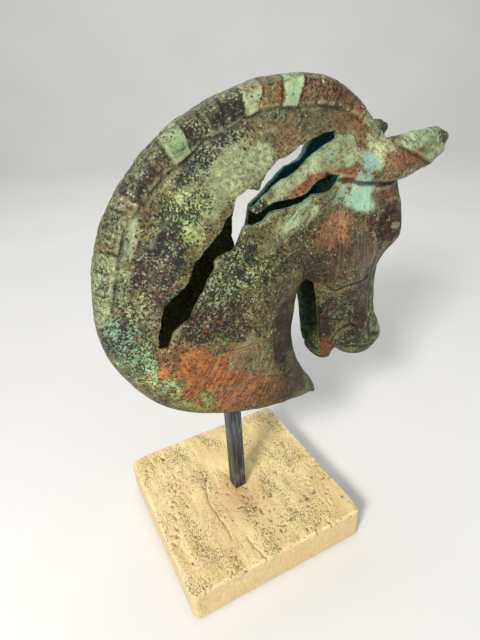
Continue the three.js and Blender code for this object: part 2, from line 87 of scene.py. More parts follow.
# x, z, half width of the bronze there, depth of the rounding at its edge
RELIEF = [
    # rim of the crest
    (134, 288, 14, 8), (121, 313, 9, 5), (97, 336, 9, 5), (60, 348, 9, 5), (14, 342.5, 9, 5),
    (-28, 325, 9, 5), (-63, 293, 9, 5), (-82.5, 252, 9, 6), (-87, 222, 9, 8),
    # inner line of the mane
    (112, 303, 15, 7), (98, 318, 12, 5), (60, 331, 12, 5), (19, 331, 12, 5), (-12, 317, 12, 5),
    (-41, 298, 12, 5), (-62, 270, 13, 6), (-74, 240, 14, 8),
    # rear edge of the neck
    (-86, 205, 14, 11), (-74, 180, 19, 13), (-58, 160, 25, 13), (-30, 143, 31, 13),
    # flank of the neck
    (40, 318, 17, 10), (0, 305, 18, 10), (-30, 285, 19, 12), (-50, 255, 21, 14), (-58, 225, 24, 16),
    (-50, 195, 29, 17), (60, 300, 24, 10), (20, 292, 25, 12), (-12, 270, 26, 14), (-28, 240, 28, 16),
    (-25, 205, 33, 18), (-10, 175, 35, 16), (0, 245, 31, 18), (15, 215, 34, 18), (15, 180, 35, 17),
    (30, 160, 35, 15), (20, 140, 35, 13), (55, 130, 25, 11), (67, 116, 17, 8), (40, 240, 30, 16),
    (40, 205, 27, 16), (48, 180, 20, 16), (52, 155, 21, 15), (56, 214, 18, 12),
    # crown, temple and brow
    (60, 285, 29, 12), (75, 300, 26, 12), (90, 290, 29, 14), (100, 305, 21, 10), (120, 292, 21, 12),
    (128, 280, 22, 12), (132, 262, 24, 12), (122, 252, 34, 13), (113, 262, 31, 14),
    (108, 245, 34, 14), (130, 240, 28, 12), (136, 248, 22, 11),
    # cheek and jaw
    (70, 262, 31, 16), (85, 250, 33, 16), (68, 240, 32, 16), (85, 228, 33, 16), (64, 222, 24, 11),
    (75, 212, 27, 12), (95, 213, 28, 14), (70, 190, 17, 6), (84, 190, 19, 8),
    # face and nose
    (112, 225, 25, 14), (130, 222, 15, 11), (108, 205, 22, 14), (127, 195, 13, 11),
    (106, 185, 20, 13), (124, 178, 15, 11),
    # muzzle and chin
    (98, 165, 20, 11), (116, 160, 21, 13), (131, 158, 16, 10), (125, 148, 20, 11),
    (110, 145, 20, 12), (114, 134, 16, 10), (96, 148, 17, 9), (80, 165, 16.5, 6),
    (78, 150, 14.5, 6), (80, 140, 12, 6),
]

# Points along the axis of the left ear, with half height and half thickness. The CAD ear is a little
# fuller at its tip, because its mesh is coarser.
EAR = [
    ((84, 22, 291), 9, 7), ((104, 25, 293), 14, 8.5), ((122, 27.5, 294), 14.5, 6.5),
    ((144, 29, 299), 12, 4), ((155, 29, 302), 8.5, 2.8), ((160, 29, 303.5), 3.4, 1.8),
]
EAR_LEAN = 0.22  # how far the leaf of the ear leans outwards
EAR_BLEND = 4.0  # how softly an ear runs into the head
EAR_LIMIT = 4.0  # metal this near the plain ear may belong to it
EAR_VOTE_REACH = 2  # cells round a place that say whether it is the ear's
EAR_ROOM = {"x": 62, "y": 6, "z": (266, 326)}  # an ear lies past these x and y, and between these z

MANE_LINE = [
    (146, 288), (116, 304), (98, 321), (72, 330), (27, 332), (-13, 317), (-42, 299), (-62, 278),
    (-73, 250), (-80, 228), (-98, 214),
]
MANE_OUTSIDE = [(-150, 260), (-80, 400), (100, 400), (190, 320)]
HEAD_SEAM = [(96, 382), (57, 214), (60, 200), (61, 160), (68, 140), (82, 125), (90, 100)]
HEAD_OUTSIDE = [(200, 100), (200, 382)]
DISC_CENTRE = (10, 235)

RIGHT_TEAR = [
    # upper edge, from the low end forwards
    (-56, 206), (-54, 217), (-49, 231), (-44, 236), (-35, 241), (-30, 247), (-26, 256), (-19, 262),
    (-10, 269), (-6, 275), (1, 282), (3, 287), (11, 291), (17, 289), (24, 298), (30, 302),
    (40, 305), (48, 309), (61, 312.5), (76.5, 315.3),
    # the tongue that is left standing between the two slits
    (76, 311.5), (71, 309.7), (58, 304), (53, 302), (48, 298), (43, 296), (33, 293), (22, 288),
    (16, 284), (11, 280), (11, 278.5), (14, 277), (25, 281), (36, 281), (49, 283), (54, 287),
    (66, 291), (73, 290),
    # lower edge, back to the low end
    (73, 288), (67, 283), (62, 282), (53, 282), (47, 278), (30, 277), (23, 276), (17, 272),
    (12, 271), (7, 272), (4, 270), (2, 266), (-3, 259), (-10, 257), (-15, 254), (-17, 248),
    (-25, 236), (-32, 228), (-36, 221), (-43, 218), (-47, 213), (-51, 205),
]
LEFT_TEAR = [
    (26, 234), (32, 244), (35, 254), (38, 265), (47, 272), (52, 276), (60, 284), (66, 288),
    (79, 291), (82, 296), (84, 303), (80, 309), (64, 305), (49, 299), (36, 290), (27, 277),
    (25, 262), (24, 245),
]
TEAR_WORN = 0.4  # how much wider the tears are worn than their plain outlines
JAW_SLOT = [(60, 213), (60, 147), (76, 147), (86, 160), (86, 213)]
JAW_SLOT_HALF = 12.0
CUT_SOFTNESS = 1.2  # how softly the edges of an opening are rounded
TEAR_RAGGED = 1.3  # how far a torn edge strays from its line
HOLLOW_UNEVEN = 0.5  # how far the inside of the wall is uneven
SKIN_GRAIN = 0.3  # height of the fine unevenness of the skin
SIDE_BLEND = 5.0  # how far from the middle the detail of the two sides is blended
EAR_SMOOTH = 0.65  # share of the flank's detail that an ear is without
HALF_WIDTHS = (3, 45)  # least and greatest half width
ROUNDINGS = (2.5, 25)  # and depth of the rounding
NECK_MOUTH = {"half_length": 42.0, "radius": 17.0, "top": 154.0}

BUST_LOW = (-92.0, -44.0, 106.0)
BUST_HIGH = (170.0, 44.0, 354.0)


# ---------------------------------------------------------------- numbers on grids
def smooth_loop(points, span=LOOP_SPAN, closed=True):
    """Points along a Catmull-Rom curve through the given ones."""
    p = np.array(points, float)
    count = len(p)
    rows = []
    for i in range(count if closed else count - 1):
        if closed:
            a, b, c, d = p[i - 1], p[i], p[(i + 1) % count], p[(i + 2) % count]
        else:
            a, b, c, d = p[max(i - 1, 0)], p[i], p[i + 1], p[min(i + 2, count - 1)]
        for t in np.arange(span) / span:
            bend = (-a + c) * t + (2 * a - 5 * b + 4 * c - d) * t**2 + (-a + 3 * b - 3 * c + d) * t**3
            rows.append(0.5 * (2 * b + bend))
    if not closed:
        rows.append(p[-1])
    return np.array(rows)


def line_distance(line, x, z, closed=False):
    """Distance to a polyline; for a closed one it is above zero inside and below zero outside."""
    nearest = np.full(x.shape, 1e9)
    inside = np.zeros(x.shape, bool)
    ends = list(zip(line, np.roll(line, -1, axis=0)))
    for a, b in ends if closed else ends[:-1]:
        edge = b - a
        along = ((x - a[0]) * edge[0] + (z - a[1]) * edge[1]) / max(edge @ edge, 1e-9)
        t = np.clip(along, 0, 1)
        nearest = np.minimum(nearest, (x - a[0] - t * edge[0]) ** 2 + (z - a[1] - t * edge[1]) ** 2)
        if closed and a[1] != b[1]:
            spans = (a[1] > z) != (b[1] > z)
            inside ^= spans & (x < a[0] + (z - a[1]) * edge[0] / edge[1])
    distance = np.sqrt(nearest)
    return np.where(inside, distance, -distance) if closed else distance


def inside_depth(points, x, z):
    return line_distance(np.array(points, float), x, z, closed=True)


def plate_bend(r):
    return np.where(r > 1e-9, r * r * np.log(np.maximum(r, 1e-9)), 0)


def relief_sheet(values, x, z):
    """A smooth sheet (a bent thin plate) over the side view through the values of the relief points."""
    points = np.array([row[:2] for row in RELIEF], float)
    count = len(points)
    gaps = np.linalg.norm(points[:, None] - points[None], axis=2)
    matrix = np.zeros((count + 3, count + 3))
    matrix[:count, :count] = plate_bend(gaps) + RELIEF_SOFTNESS * np.eye(count)
    matrix[:count, count] = 1
    matrix[:count, count + 1:] = points
    matrix[count:, :count] = matrix[:count, count:].T
    weights = np.linalg.solve(matrix, np.r_[np.array(values, float), 0, 0, 0])
    sheet = weights[count] + weights[count + 1] * x + weights[count + 2] * z
    for weight, (px, pz) in zip(weights, points):
        sheet = sheet + weight * plate_bend(np.hypot(x - px, z - pz))
    return sheet


def smooth_max(a, b, k):
    h = np.clip(0.5 - 0.5 * (b - a) / k, 0, 1)
    return b * (1 - h) + a * h + k * h * (1 - h)


def smooth_min(a, b, k):
    return -smooth_max(-a, -b, k)


def smoothstep(low, high, value):
    t = np.clip((value - low) / (high - low), 0, 1)
    return t * t * (3 - 2 * t)


NOISE_SIDE = 64
lattice = np.random.default_rng(SEED).random((NOISE_SIDE,) * 3).astype(np.float32)


def noise(x, y, z, size, salt=0):
    """Smooth value noise from -1 to 1 with features of the given size."""
    shift = 17.3 * salt
    total = 0
    cells, fades = [], []
    for axis in (x, y, z):
        scaled = np.asarray(axis) / size + shift
        low = np.floor(scaled).astype(np.int64)
        t = scaled - low
        cells.append(low)
        fades.append(t * t * (3 - 2 * t))
    for corner in range(8):
        bits = [(corner >> n) & 1 for n in range(3)]
        weight = 1
        for bit, fade in zip(bits, fades):
            weight = weight * (fade if bit else 1 - fade)
        index = tuple((cell + bit) % NOISE_SIDE for cell, bit in zip(cells, bits))
        total = total + weight * lattice[index]
    return 2 * total - 1


def fractal(x, y, z, size, octaves=3, salt=0):
    total, share = 0, 0.0
    for n in range(octaves):
        total = total + noise(x, y, z, size / 2**n, salt + n) / 2**n
        share += 1 / 2**n
    return total / share


# ---------------------------------------------------------------- meshes from fields
NEAREST_CUT = 0.02  # the least share of a cell's edge between a cut and a corner


def grid_axes(low, high, step):
    return [np.arange(a, b + step, step) for a, b in zip(low, high)]


def vertex_normals(vertices, quads):
    corner = vertices[quads]
    face = np.cross(corner[:, 2] - corner[:, 0], corner[:, 3] - corner[:, 1])
    normals = np.zeros_like(vertices)
    for n in range(4):
        np.add.at(normals, quads[:, n], face)
    return normals / (np.linalg.norm(normals, axis=1)[:, None] + 1e-12)


def new_mesh(name, vertices, faces):
    mesh = bpy.data.meshes.new(name)
    mesh.vertices.add(len(vertices))
    mesh.vertices.foreach_set("co", (np.asarray(vertices) * METRES).ravel())
    size = faces.shape[1]
    mesh.loops.add(faces.size)
    mesh.loops.foreach_set("vertex_index", faces.ravel())
    mesh.polygons.add(len(faces))
    mesh.polygons.foreach_set("loop_start", np.arange(0, faces.size, size))
    mesh.update(calc_edges=True)
    mesh.validate()
    return mesh


def new_object(name, mesh):
    piece = bpy.data.objects.new(name, mesh)
    bpy.context.scene.collection.objects.link(piece)
    return piece


def labelled_pieces(field, labels, axes):
    """Closed pieces of one solid, where the field is below zero, that share their vertices where they meet.

    Each cell of the grid that a surface crosses has one vertex, at the mean of the places where the cell's
    edges are cut. Returns the vertices, their normals and the quads of each label. Label 0 is empty space.
    """
    step = axes[0][1] - axes[0][0]
    origin = np.array([axis[0] for axis in axes])
    labels = np.where(field < 0, labels, 0)
    for axis in range(3):
        edge = [slice(None)] * 3
        for end in (0, -1):
            edge[axis] = end
            labels[tuple(edge)] = 0
    cells = tuple(n - 1 for n in labels.shape)
    corners = [(i, j, k) for i in (0, 1) for j in (0, 1) for k in (0, 1)]

    def corner_of(values, corner):
        return values[tuple(slice(c, c + n) for c, n in zip(corner, cells))]

    first = corner_of(labels, corners[0])
    mixed, empty, full = np.zeros(cells, bool), np.zeros(cells, bool), np.zeros(cells, bool)
    for corner in corners:
        here = corner_of(labels, corner)
        mixed |= here != first
        empty |= here == 0
        full |= here > 0
    places = np.argwhere(mixed)
    on_skin = (empty & full)[mixed]
    number = np.full(cells, -1, np.int64)
    number[mixed] = np.arange(len(places))

    total, count = np.zeros((len(places), 3)), np.zeros(len(places))
    for corner in corners:
        for axis in range(3):
            if corner[axis]:
                continue
            other = list(corner)
            other[axis] = 1
            here, there = tuple((places + corner).T), tuple((places + other).T)
            la, lb = labels[here], labels[there]
            skin_cut = (la == 0) != (lb == 0)
            cut = np.where(on_skin, skin_cut, la != lb)
            a, b = field[here], field[there]
            with np.errstate(divide="ignore", invalid="ignore"):
                t = np.where(skin_cut, np.clip(a / (a - b), NEAREST_CUT, 1 - NEAREST_CUT), 0.5)
            point = np.tile(np.array(corner, float), (len(places), 1))
            point[:, axis] += t
            total[cut] += point[cut]
            count[cut] += 1
    vertices = (total / count[:, None] + places) * step + origin

    skin = []
    quads = {int(n): [] for n in np.unique(labels) if n}
    for axis in range(3):
        side_u, side_v = [n for n in range(3) if n != axis]
        low, high = [slice(None)] * 3, [slice(None)] * 3
        low[axis], high[axis] = slice(0, -1), slice(1, None)
        near, beyond = labels[tuple(low)], labels[tuple(high)]
        edges = np.argwhere(near != beyond)
        u, v = np.zeros(3, int), np.zeros(3, int)
        u[side_u] = v[side_v] = 1
        ring = [edges - u - v, edges - v, edges, edges - u]
        quad = np.stack([number[tuple(r.T)] for r in ring], 1)
        if axis == 1:
            quad = quad[:, ::-1]
        a, b = near[tuple(edges.T)], beyond[tuple(edges.T)]
        skin += [quad[b == 0], quad[a == 0][:, ::-1]]
        for label, found in quads.items():
            found += [quad[a == label], quad[b == label][:, ::-1]]
    quads = {label: np.concatenate(found) for label, found in quads.items()}
    return vertices, vertex_normals(vertices, np.concatenate(skin)), quads


def mesh_of(name, field, axes, turn=0.0):
    """A mesh of one closed piece, where the field is below zero, turned about Z."""
    vertices, _, quads = labelled_pieces(field, 1, axes)
    c, s = math.cos(turn), math.sin(turn)
    vertices[:, :2] = vertices[:, :2] @ np.array([[c, s], [-s, c]])
    return new_mesh(name, vertices, quads[1]), vertices


# ---------------------------------------------------------------- tones, as sRGB 0 to 255
def linear(tone):
    value = np.array(tone, float) / 255
    return np.where(value <= 0.04045, value / 12.92, ((value + 0.055) / 1.055) ** 2.4)


SAGE = (144, 152, 113)
MINT = (163, 182, 142)
TURQUOISE = (148, 186, 164)
OLIVE = (112, 108, 70)
MOSS = (92, 104, 66)
LIME = (146, 156, 92)
STRAW = (158, 150, 100)
BROWN = (104, 80, 56)
RUST = (142, 88, 54)
ORANGE = (164, 96, 54)
UMBER = (70, 58, 42)
SLATE = (92, 96, 84)
STONE_GREEN = (124, 132, 104)

# ---------------------------------------------------------------- relief and colour
# Tufts of the mane: the angle round the disc's centre where each one ends, height, tone, veil, cover and
# grains. Grains are the shares of dark, light and red specks.
TUFTS = [
    (20, 0.5, SAGE, TURQUOISE, 0.5, (0.2, 0.2, 0.1)),
    (34, 1.1, MINT, TURQUOISE, 0.6, (0.1, 0.1, 0.0)),
    (42.2, 0.4, SAGE, MINT, 0.4, (0.2, 0.3, 0.2)),
    (47.6, 1.0, (124, 84, 56), MINT, 0.3, (0.25, 0.3, 0.3)),
    (53.9, 0.5, (96, 74, 52), (122, 84, 58), 0.45, (0.35, 0.15, 0.2)),
    (60.5, 0.9, (110, 84, 60), (122, 88, 62), 0.4, (0.4, 0.15, 0.1)),
    (66.4, 0.4, (128, 102, 76), OLIVE, 0.4, (0.4, 0.25, 0.1)),
    (72.3, 1.5, SAGE, (158, 188, 148), 0.6, (0.1, 0.1, 0.15)),
    (79.9, 0.4, OLIVE, RUST, 0.5, (0.3, 0.3, 0.15)),
    (85.8, 1.3, STRAW, MINT, 0.5, (0.2, 0.2, 0.1)),
    (94.3, 0.3, (84, 86, 70), BROWN, 0.4, (0.65, 0.35, 0.1)),
    (101.4, 0.9, (84, 82, 56), UMBER, 0.45, (0.62, 0.32, 0.25)),
    (108.4, 0.3, (84, 74, 54), (104, 116, 88), 0.4, (0.65, 0.45, 0.25)),
    (117.2, 1.4, (118, 126, 90), (132, 158, 114), 0.55, (0.15, 0.15, 0.05)),
    (124.4, 0.4, (98, 92, 62), (104, 106, 82), 0.35, (0.5, 0.3, 0.15)),
    (131.2, 0.9, (74, 62, 46), (84, 80, 54), 0.45, (0.6, 0.3, 0.25)),
    (137.5, 0.4, (62, 54, 42), (104, 110, 84), 0.34, (0.62, 0.32, 0.35)),
    (144.0, 1.0, BROWN, SAGE, 0.45, (0.4, 0.3, 0.15)),
    (151.5, 0.3, STONE_GREEN, BROWN, 0.5, (0.35, 0.4, 0.1)),
    (159.3, 1.0, (110, 96, 70), STONE_GREEN, 0.4, (0.45, 0.4, 0.2)),
    (167.0, 0.3, SAGE, STONE_GREEN, 0.5, (0.3, 0.4, 0.1)),
    (175.3, 0.9, (122, 122, 100), (158, 174, 140), 0.5, (0.38, 0.38, 0.35)),
    (188.1, 0.4, SAGE, MINT, 0.4, (0.35, 0.4, 0.2)),
    (220, 0.7, STONE_GREEN, MINT, 0.4, (0.35, 0.4, 0.1)),
]
TUFT_GROOVE = 0.8  # depth of the grooves between the tufts, mm
TUFT_STREAK = 0.2
TUFT_SHIFT = 4.0  # how far the left side's tufts are turned from the right side's, degrees
BAND_STEP = 0.8  # how far the mane stands proud of the neck, mm
BAND_EDGE = 0.9  # half width of the slope at the foot of the mane
RIM_WORN = 1.7  # how much of the mane's height is lost at its rim, mm
RIM_REACH = 7.0  # and how far in from the rim

# Ridges and grooves of both flanks: points (x, z), half width and height, in mm.
STROKES = [
    # folds of the neck that run along the mane
    ([(-50, 268), (-34, 285), (-13, 302), (1, 310), (14, 316), (34, 321)], 2.6, 0.8),
    ([(-44, 262), (-30, 278), (-8, 295), (8, 303), (24, 309)], 3.0, -0.5),
    # crease below the ear and the swelling above it
    ([(64, 292), (72, 288), (81, 286), (89, 283), (101, 281), (114, 279), (126, 280)], 1.5, -1.9),
    ([(60, 300), (78, 298), (98, 295), (114, 293)], 8.0, 1.6),
    ([(74, 281), (90, 277), (106, 274)], 3.5, 0.6),
    # rear of the cheek, the line across it and its flutes
    ([(50, 262), (46, 247), (52, 232), (62, 220), (72, 212)], 4.0, -1.3),
    ([(73, 210), (77, 208), (83, 211), (91, 211), (100, 210), (106, 212)], 1.1, -1.2),
    ([(76, 214), (86, 216), (98, 215)], 3.0, 0.4),
    ([(64, 262), (66, 252), (70, 240), (76, 228)], 4.0, 0.9),
    ([(82, 252), (85, 240), (89, 228), (94, 218)], 2.2, 0.6),
    ([(93, 250), (95, 236), (98, 222)], 1.6, -0.7),
    ([(100, 248), (102, 236), (104, 224)], 1.8, 0.7),
    ([(108, 240), (110, 228), (112, 214), (112, 200)], 2.0, -0.9),
    # lids and brow
    ([(106, 253), (111, 258), (119, 260), (126, 256), (129, 251)], 1.2, -0.9),
    ([(102, 259), (110, 266), (120, 268), (130, 263)], 3.0, 1.0),
    ([(108, 249), (114, 245), (122, 245), (128, 249)], 1.1, -0.8),
    ([(106, 241), (116, 238), (126, 240)], 2.6, 0.5),
    # bridge of the nose, nostril and lips
    ([(121, 236), (119, 220), (117, 204), (116, 188), (117, 176)], 1.6, -1.0),
    ([(124, 178), (119, 172), (115, 163), (118, 155)], 1.8, -1.3),
    ([(126, 160), (130, 154), (131, 149)], 4.5, 2.2),
    ([(121, 156), (125, 153), (128, 154)], 1.5, -1.6),
    ([(128, 212), (124, 214)], 3.0, -1.2),
    ([(82, 157), (86, 165), (93, 171), (100, 170)], 1.3, -1.4),
    ([(96, 150), (103, 148), (112, 146), (122, 145)], 1.4, -0.9),
    ([(96, 158), (106, 160), (112, 156)], 3.0, 0.8),
    ([(78, 186), (86, 194), (96, 196)], 3.2, 0.9),
    # folds low on the neck and its front lip
    ([(-30, 168), (-17, 165), (-8, 168), (3, 169), (16, 167), (33, 157)], 2.6, 0.7),
    ([(-22, 178), (-4, 181), (14, 180), (30, 172)], 3.4, -0.5),
    ([(44, 200), (42, 182), (46, 160), (56, 140)], 3.0, 0.6),
    ([(52, 134), (60, 126), (67, 118)], 2.2, 0.8),
]
EYE = ((117.5, 251), 5.0, 2.8, 1.3)  # middle, half length, half height, height

# Patches of patina: x, z, half length, half width, turn, tone, veil, cover, grains and streaks.
RIGHT_PATCHES = [
    # upper neck
    (0, 318, 62, 8, 28, OLIVE, STONE_GREEN, 0.35, (0.35, 0.35, 0.05), 0.7),
    (14, 324, 34, 4.5, 26, (120, 130, 116), OLIVE, 0.3, (0.64, 0.45, 0.05), 0.5),
    (-14, 308, 18, 5, 45, SLATE, STONE_GREEN, 0.5, (0.65, 0.5, 0.05), 0.4),
    (30, 326, 18, 4, 15, (116, 114, 84), OLIVE, 0.4, (0.4, 0.3, 0.05), 0.6),
    (46, 318, 15, 6, 8, (112, 92, 66), RUST, 0.4, (0.25, 0.15, 0.15), 0.5),
    (66, 322, 14, 6, 2, (96, 94, 62), BROWN, 0.4, (0.3, 0.25, 0.05), 0.6),
    (88, 318, 12, 6, -15, (122, 98, 68), BROWN, 0.4, (0.2, 0.15, 0.1), 0.4),
    (100, 311, 10, 6, -30, (128, 96, 66), SAGE, 0.4, (0.15, 0.15, 0.1), 0.3),
    (-4, 296, 26, 9, 42, SAGE, (140, 150, 108), 0.45, (0.06, 0.12, 0.0), 0.2),
    (18, 304, 15, 7, 30, (152, 162, 124), MINT, 0.3, (0.05, 0.1, 0.0), 0.2),
    # rear of the neck
    (-22, 288, 12, 8, 45, (150, 162, 114), LIME, 0.4, (0.52, 0.64, 0.1), 0.0),
    (-34, 275, 15, 11, 55, MOSS, LIME, 0.45, (0.72, 0.7, 0.1), 0.0),
    (-46, 260, 14, 11, 60, SLATE, STONE_GREEN, 0.4, (0.75, 0.5, 0.1), 0.0),
    (-24, 271, 6, 5, 40, (122, 122, 76), (150, 152, 86), 0.5, (0.3, 0.75, 0.0), 0.0),
    (-54, 250, 12, 12, 70, (108, 94, 74), SLATE, 0.4, (0.6, 0.45, 0.1), 0.0),
    (-48, 236, 12, 10, 70, (104, 88, 70), SLATE, 0.4, (0.6, 0.4, 0.15), 0.0),
    (-62, 272, 12, 5, 60, (138, 150, 122), (164, 176, 140), 0.5, (0.25, 0.3, 0.0), 0.3),
    (-70, 248, 16, 5, 78, (128, 136, 106), MINT, 0.35, (0.3, 0.35, 0.0), 0.3),
    (-66, 226, 16, 8, 90, STONE_GREEN, OLIVE, 0.4, (0.55, 0.45, 0.1), 0.0),
    (-78, 214, 16, 7, 95, (96, 104, 86), (134, 172, 148), 0.5, (0.6, 0.45, 0.05), 0.0),
    (-68, 194, 16, 9, 120, (110, 114, 82), (136, 172, 140), 0.5, (0.5, 0.45, 0.1), 0.0),
    (-56, 178, 14, 8, 140, (122, 112, 68), MINT, 0.5, (0.35, 0.4, 0.1), 0.0),
    (-38, 160, 16, 8, 160, (128, 116, 68), LIME, 0.5, (0.3, 0.35, 0.1), 0.0),
    # lower neck
    (-44, 196, 12, 10, -40, (132, 96, 62), STRAW, 0.35, (0.35, 0.2, 0.1), 0.2),
    (-38, 186, 14, 13, -20, (190, 120, 70), (160, 168, 96), 0.36, (0.15, 0.1, 0.15), 0.0),
    (-16, 178, 26, 18, 10, (148, 86, 40), (168, 108, 50), 0.45, (0.2, 0.06, 0.15), 0.6),
    (-6, 156, 26, 12, 0, (142, 86, 42), (162, 106, 50), 0.4, (0.2, 0.05, 0.15), 0.7),
    (24, 150, 24, 14, 10, (108, 74, 36), (134, 92, 44), 0.4, (0.35, 0.1, 0.2), 0.4),
    (-4, 190, 6, 13, -25, (138, 108, 70), MINT, 0.42, (0.15, 0.1, 0.1), 1.0),
    (9, 178, 12, 8, 0, (122, 102, 68), SAGE, 0.45, (0.2, 0.15, 0.1), 0.6),
    (-19, 232, 17, 15, 50, (114, 118, 84), STONE_GREEN, 0.45, (0.68, 0.6, 0.3), 0.0),
    (0, 250, 17, 11, 45, (98, 112, 74), LIME, 0.45, (0.7, 0.62, 0.25), 0.0),
    (-30, 216, 12, 9, 40, (116, 88, 66), MOSS, 0.45, (0.7, 0.5, 0.35), 0.0),
    (-8, 214, 14, 12, 40, (96, 82, 58), MOSS, 0.45, (0.6, 0.4, 0.3), 0.1),
    (20, 218, 17, 20, 60, (92, 80, 40), (114, 102, 52), 0.5, (0.5, 0.35, 0.1), 0.7),
    (18, 242, 14, 10, 50, (98, 98, 62), LIME, 0.4, (0.6, 0.5, 0.15), 0.3),
    # the next two patches, on the front of the lower neck, are dark patina darkened further by painted shade
    (30, 190, 12, 24, 0, (56, 42, 22), (62, 48, 28), 0.4, (0.35, 0.12, 0.1), 0.3),
    (44, 150, 16, 14, 30, (60, 48, 26), (70, 62, 34), 0.4, (0.3, 0.15, 0.1), 0.2),
    (62, 120, 10, 8, 0, (66, 68, 50), (100, 106, 84), 0.4, (0.5, 0.4, 0.1), 0.0),
    (28, 262, 16, 7, 30, OLIVE, SAGE, 0.52, (0.3, 0.3, 0.1), 0.8),
    (46, 270, 16, 6, 25, (118, 120, 82), MINT, 0.5, (0.2, 0.3, 0.1), 0.9),
    (44, 248, 10, 13, 0, (88, 84, 56), OLIVE, 0.4, (0.5, 0.35, 0.2), 0.3),
    # tongue between the slits
    (70, 305, 20, 5, 14, SAGE, MINT, 0.5, (0.08, 0.12, 0.0), 0.4),
    (40, 292, 22, 4, 27, (172, 180, 136), (176, 196, 150), 0.5, (0.05, 0.1, 0.05), 0.4),
    (50, 287, 18, 2.6, 16, (138, 96, 62), RUST, 0.5, (0.2, 0.1, 0.3), 0.4),
    (14, 280, 6, 4, 30, SLATE, MINT, 0.4, (0.6, 0.4, 0.1), 0.0),
    # temple and root of the ear
    (80, 299, 14, 6, 0, (150, 152, 112), MINT, 0.5, (0.08, 0.15, 0.05), 0.3),
    (80, 291, 12, 3.4, 5, (126, 92, 62), RUST, 0.5, (0.2, 0.1, 0.3), 0.3),
    (94, 293, 9, 6, 60, (132, 112, 84), (158, 202, 182), 0.54, (0.06, 0.15, 0.1), 0.2),
    (106, 302, 9, 6, 0, (176, 184, 136), (190, 206, 156), 0.5, (0.1, 0.3, 0.2), 0.1),
    (112, 292, 8, 8, 0, (134, 104, 74), (166, 176, 136), 0.4, (0.15, 0.2, 0.25), 0.0),
    (74, 278, 13, 5, 5, (106, 88, 60), (140, 170, 144), 0.54, (0.15, 0.2, 0.1), 0.3),
    (93, 274, 14, 8, 0, (152, 166, 138), (164, 206, 180), 0.66, (0.1, 0.25, 0.1), 0.2),
    (112, 273, 12, 8, 0, (120, 90, 62), STONE_GREEN, 0.35, (0.3, 0.2, 0.2), 0.2),
    (132, 264, 6, 14, 0, (112, 112, 78), SAGE, 0.45, (0.25, 0.2, 0.1), 0.2),
    # on the face the darker tones are partly painted shade, of the side turned from the key light: cheek,
    # brow, jaw, nose and muzzle
    # cheek
    (60, 256, 10, 12, 20, (96, 82, 50), OLIVE, 0.45, (0.4, 0.3, 0.2), 0.3),
    (70, 254, 14, 13, 0, (158, 112, 80), (136, 94, 62), 0.45, (0.2, 0.12, 0.3), 0.6),
    (74, 232, 14, 14, 0, (72, 54, 32), (100, 66, 38), 0.45, (0.3, 0.12, 0.25), 0.6),
    (96, 238, 12, 18, 0, (98, 68, 42), (126, 82, 50), 0.45, (0.25, 0.12, 0.15), 0.9),
    (86, 242, 5, 14, 10, (72, 58, 40), (112, 98, 72), 0.45, (0.2, 0.15, 0.1), 0.9),
    (58, 232, 8, 12, 0, (76, 66, 40), MOSS, 0.4, (0.5, 0.3, 0.15), 0.2),
    (112, 250, 14, 14, 0, (82, 54, 38), (104, 108, 82), 0.33, (0.55, 0.3, 0.1), 0.1),
    # jaw, face and muzzle
    (86, 196, 16, 10, 0, (72, 62, 40), (88, 104, 68), 0.45, (0.55, 0.45, 0.15), 0.1),
    (92, 184, 14, 10, 0, (58, 52, 26), (84, 96, 52), 0.5, (0.55, 0.5, 0.2), 0.0),
    (106, 202, 8, 20, 0, (78, 60, 40), (78, 84, 54), 0.4, (0.45, 0.25, 0.15), 0.4),
    (120, 206, 5, 22, 0, (70, 62, 42), (108, 126, 94), 0.5, (0.25, 0.15, 0.05), 0.5),
    (104, 172, 10, 7, 0, (66, 46, 32), (110, 66, 42), 0.36, (0.45, 0.2, 0.3), 0.0),
    (100, 156, 16, 9, 0, (52, 44, 16), (70, 70, 24), 0.45, (0.5, 0.34, 0.15), 0.0),
    (112, 142, 16, 8, 0, (64, 68, 42), (92, 108, 68), 0.5, (0.4, 0.4, 0.1), 0.0),
    (125, 164, 8, 14, 0, (82, 84, 56), (104, 126, 84), 0.5, (0.25, 0.3, 0.35), 0.0),
    (73, 172, 7, 20, 0, (46, 30, 15), (60, 40, 20), 0.4, (0.35, 0.15, 0.2), 0.4),
    (78, 150, 7, 12, 0, (112, 70, 40), (146, 88, 48), 0.4, (0.2, 0.1, 0.25), 0.2),
    # ear
    (126, 297, 12, 8, 0, (122, 84, 58), (142, 92, 58), 0.4, (0.12, 0.2, 0.5), 0.0),
    (138, 306, 16, 5, 8, (150, 166, 128), (176, 200, 160), 0.45, (0.1, 0.25, 0.15), 0.1),
    (148, 298, 10, 8, 10, (140, 148, 112), (146, 168, 130), 0.5, (0.15, 0.25, 0.1), 0.1),
    (138, 286, 18, 4, 10, (112, 112, 80), MINT, 0.45, (0.2, 0.2, 0.1), 0.1),
    (157, 305, 4, 4, 0, (112, 124, 98), (134, 146, 118), 0.4, (0.6, 0.3, 0.1), 0.0),
]
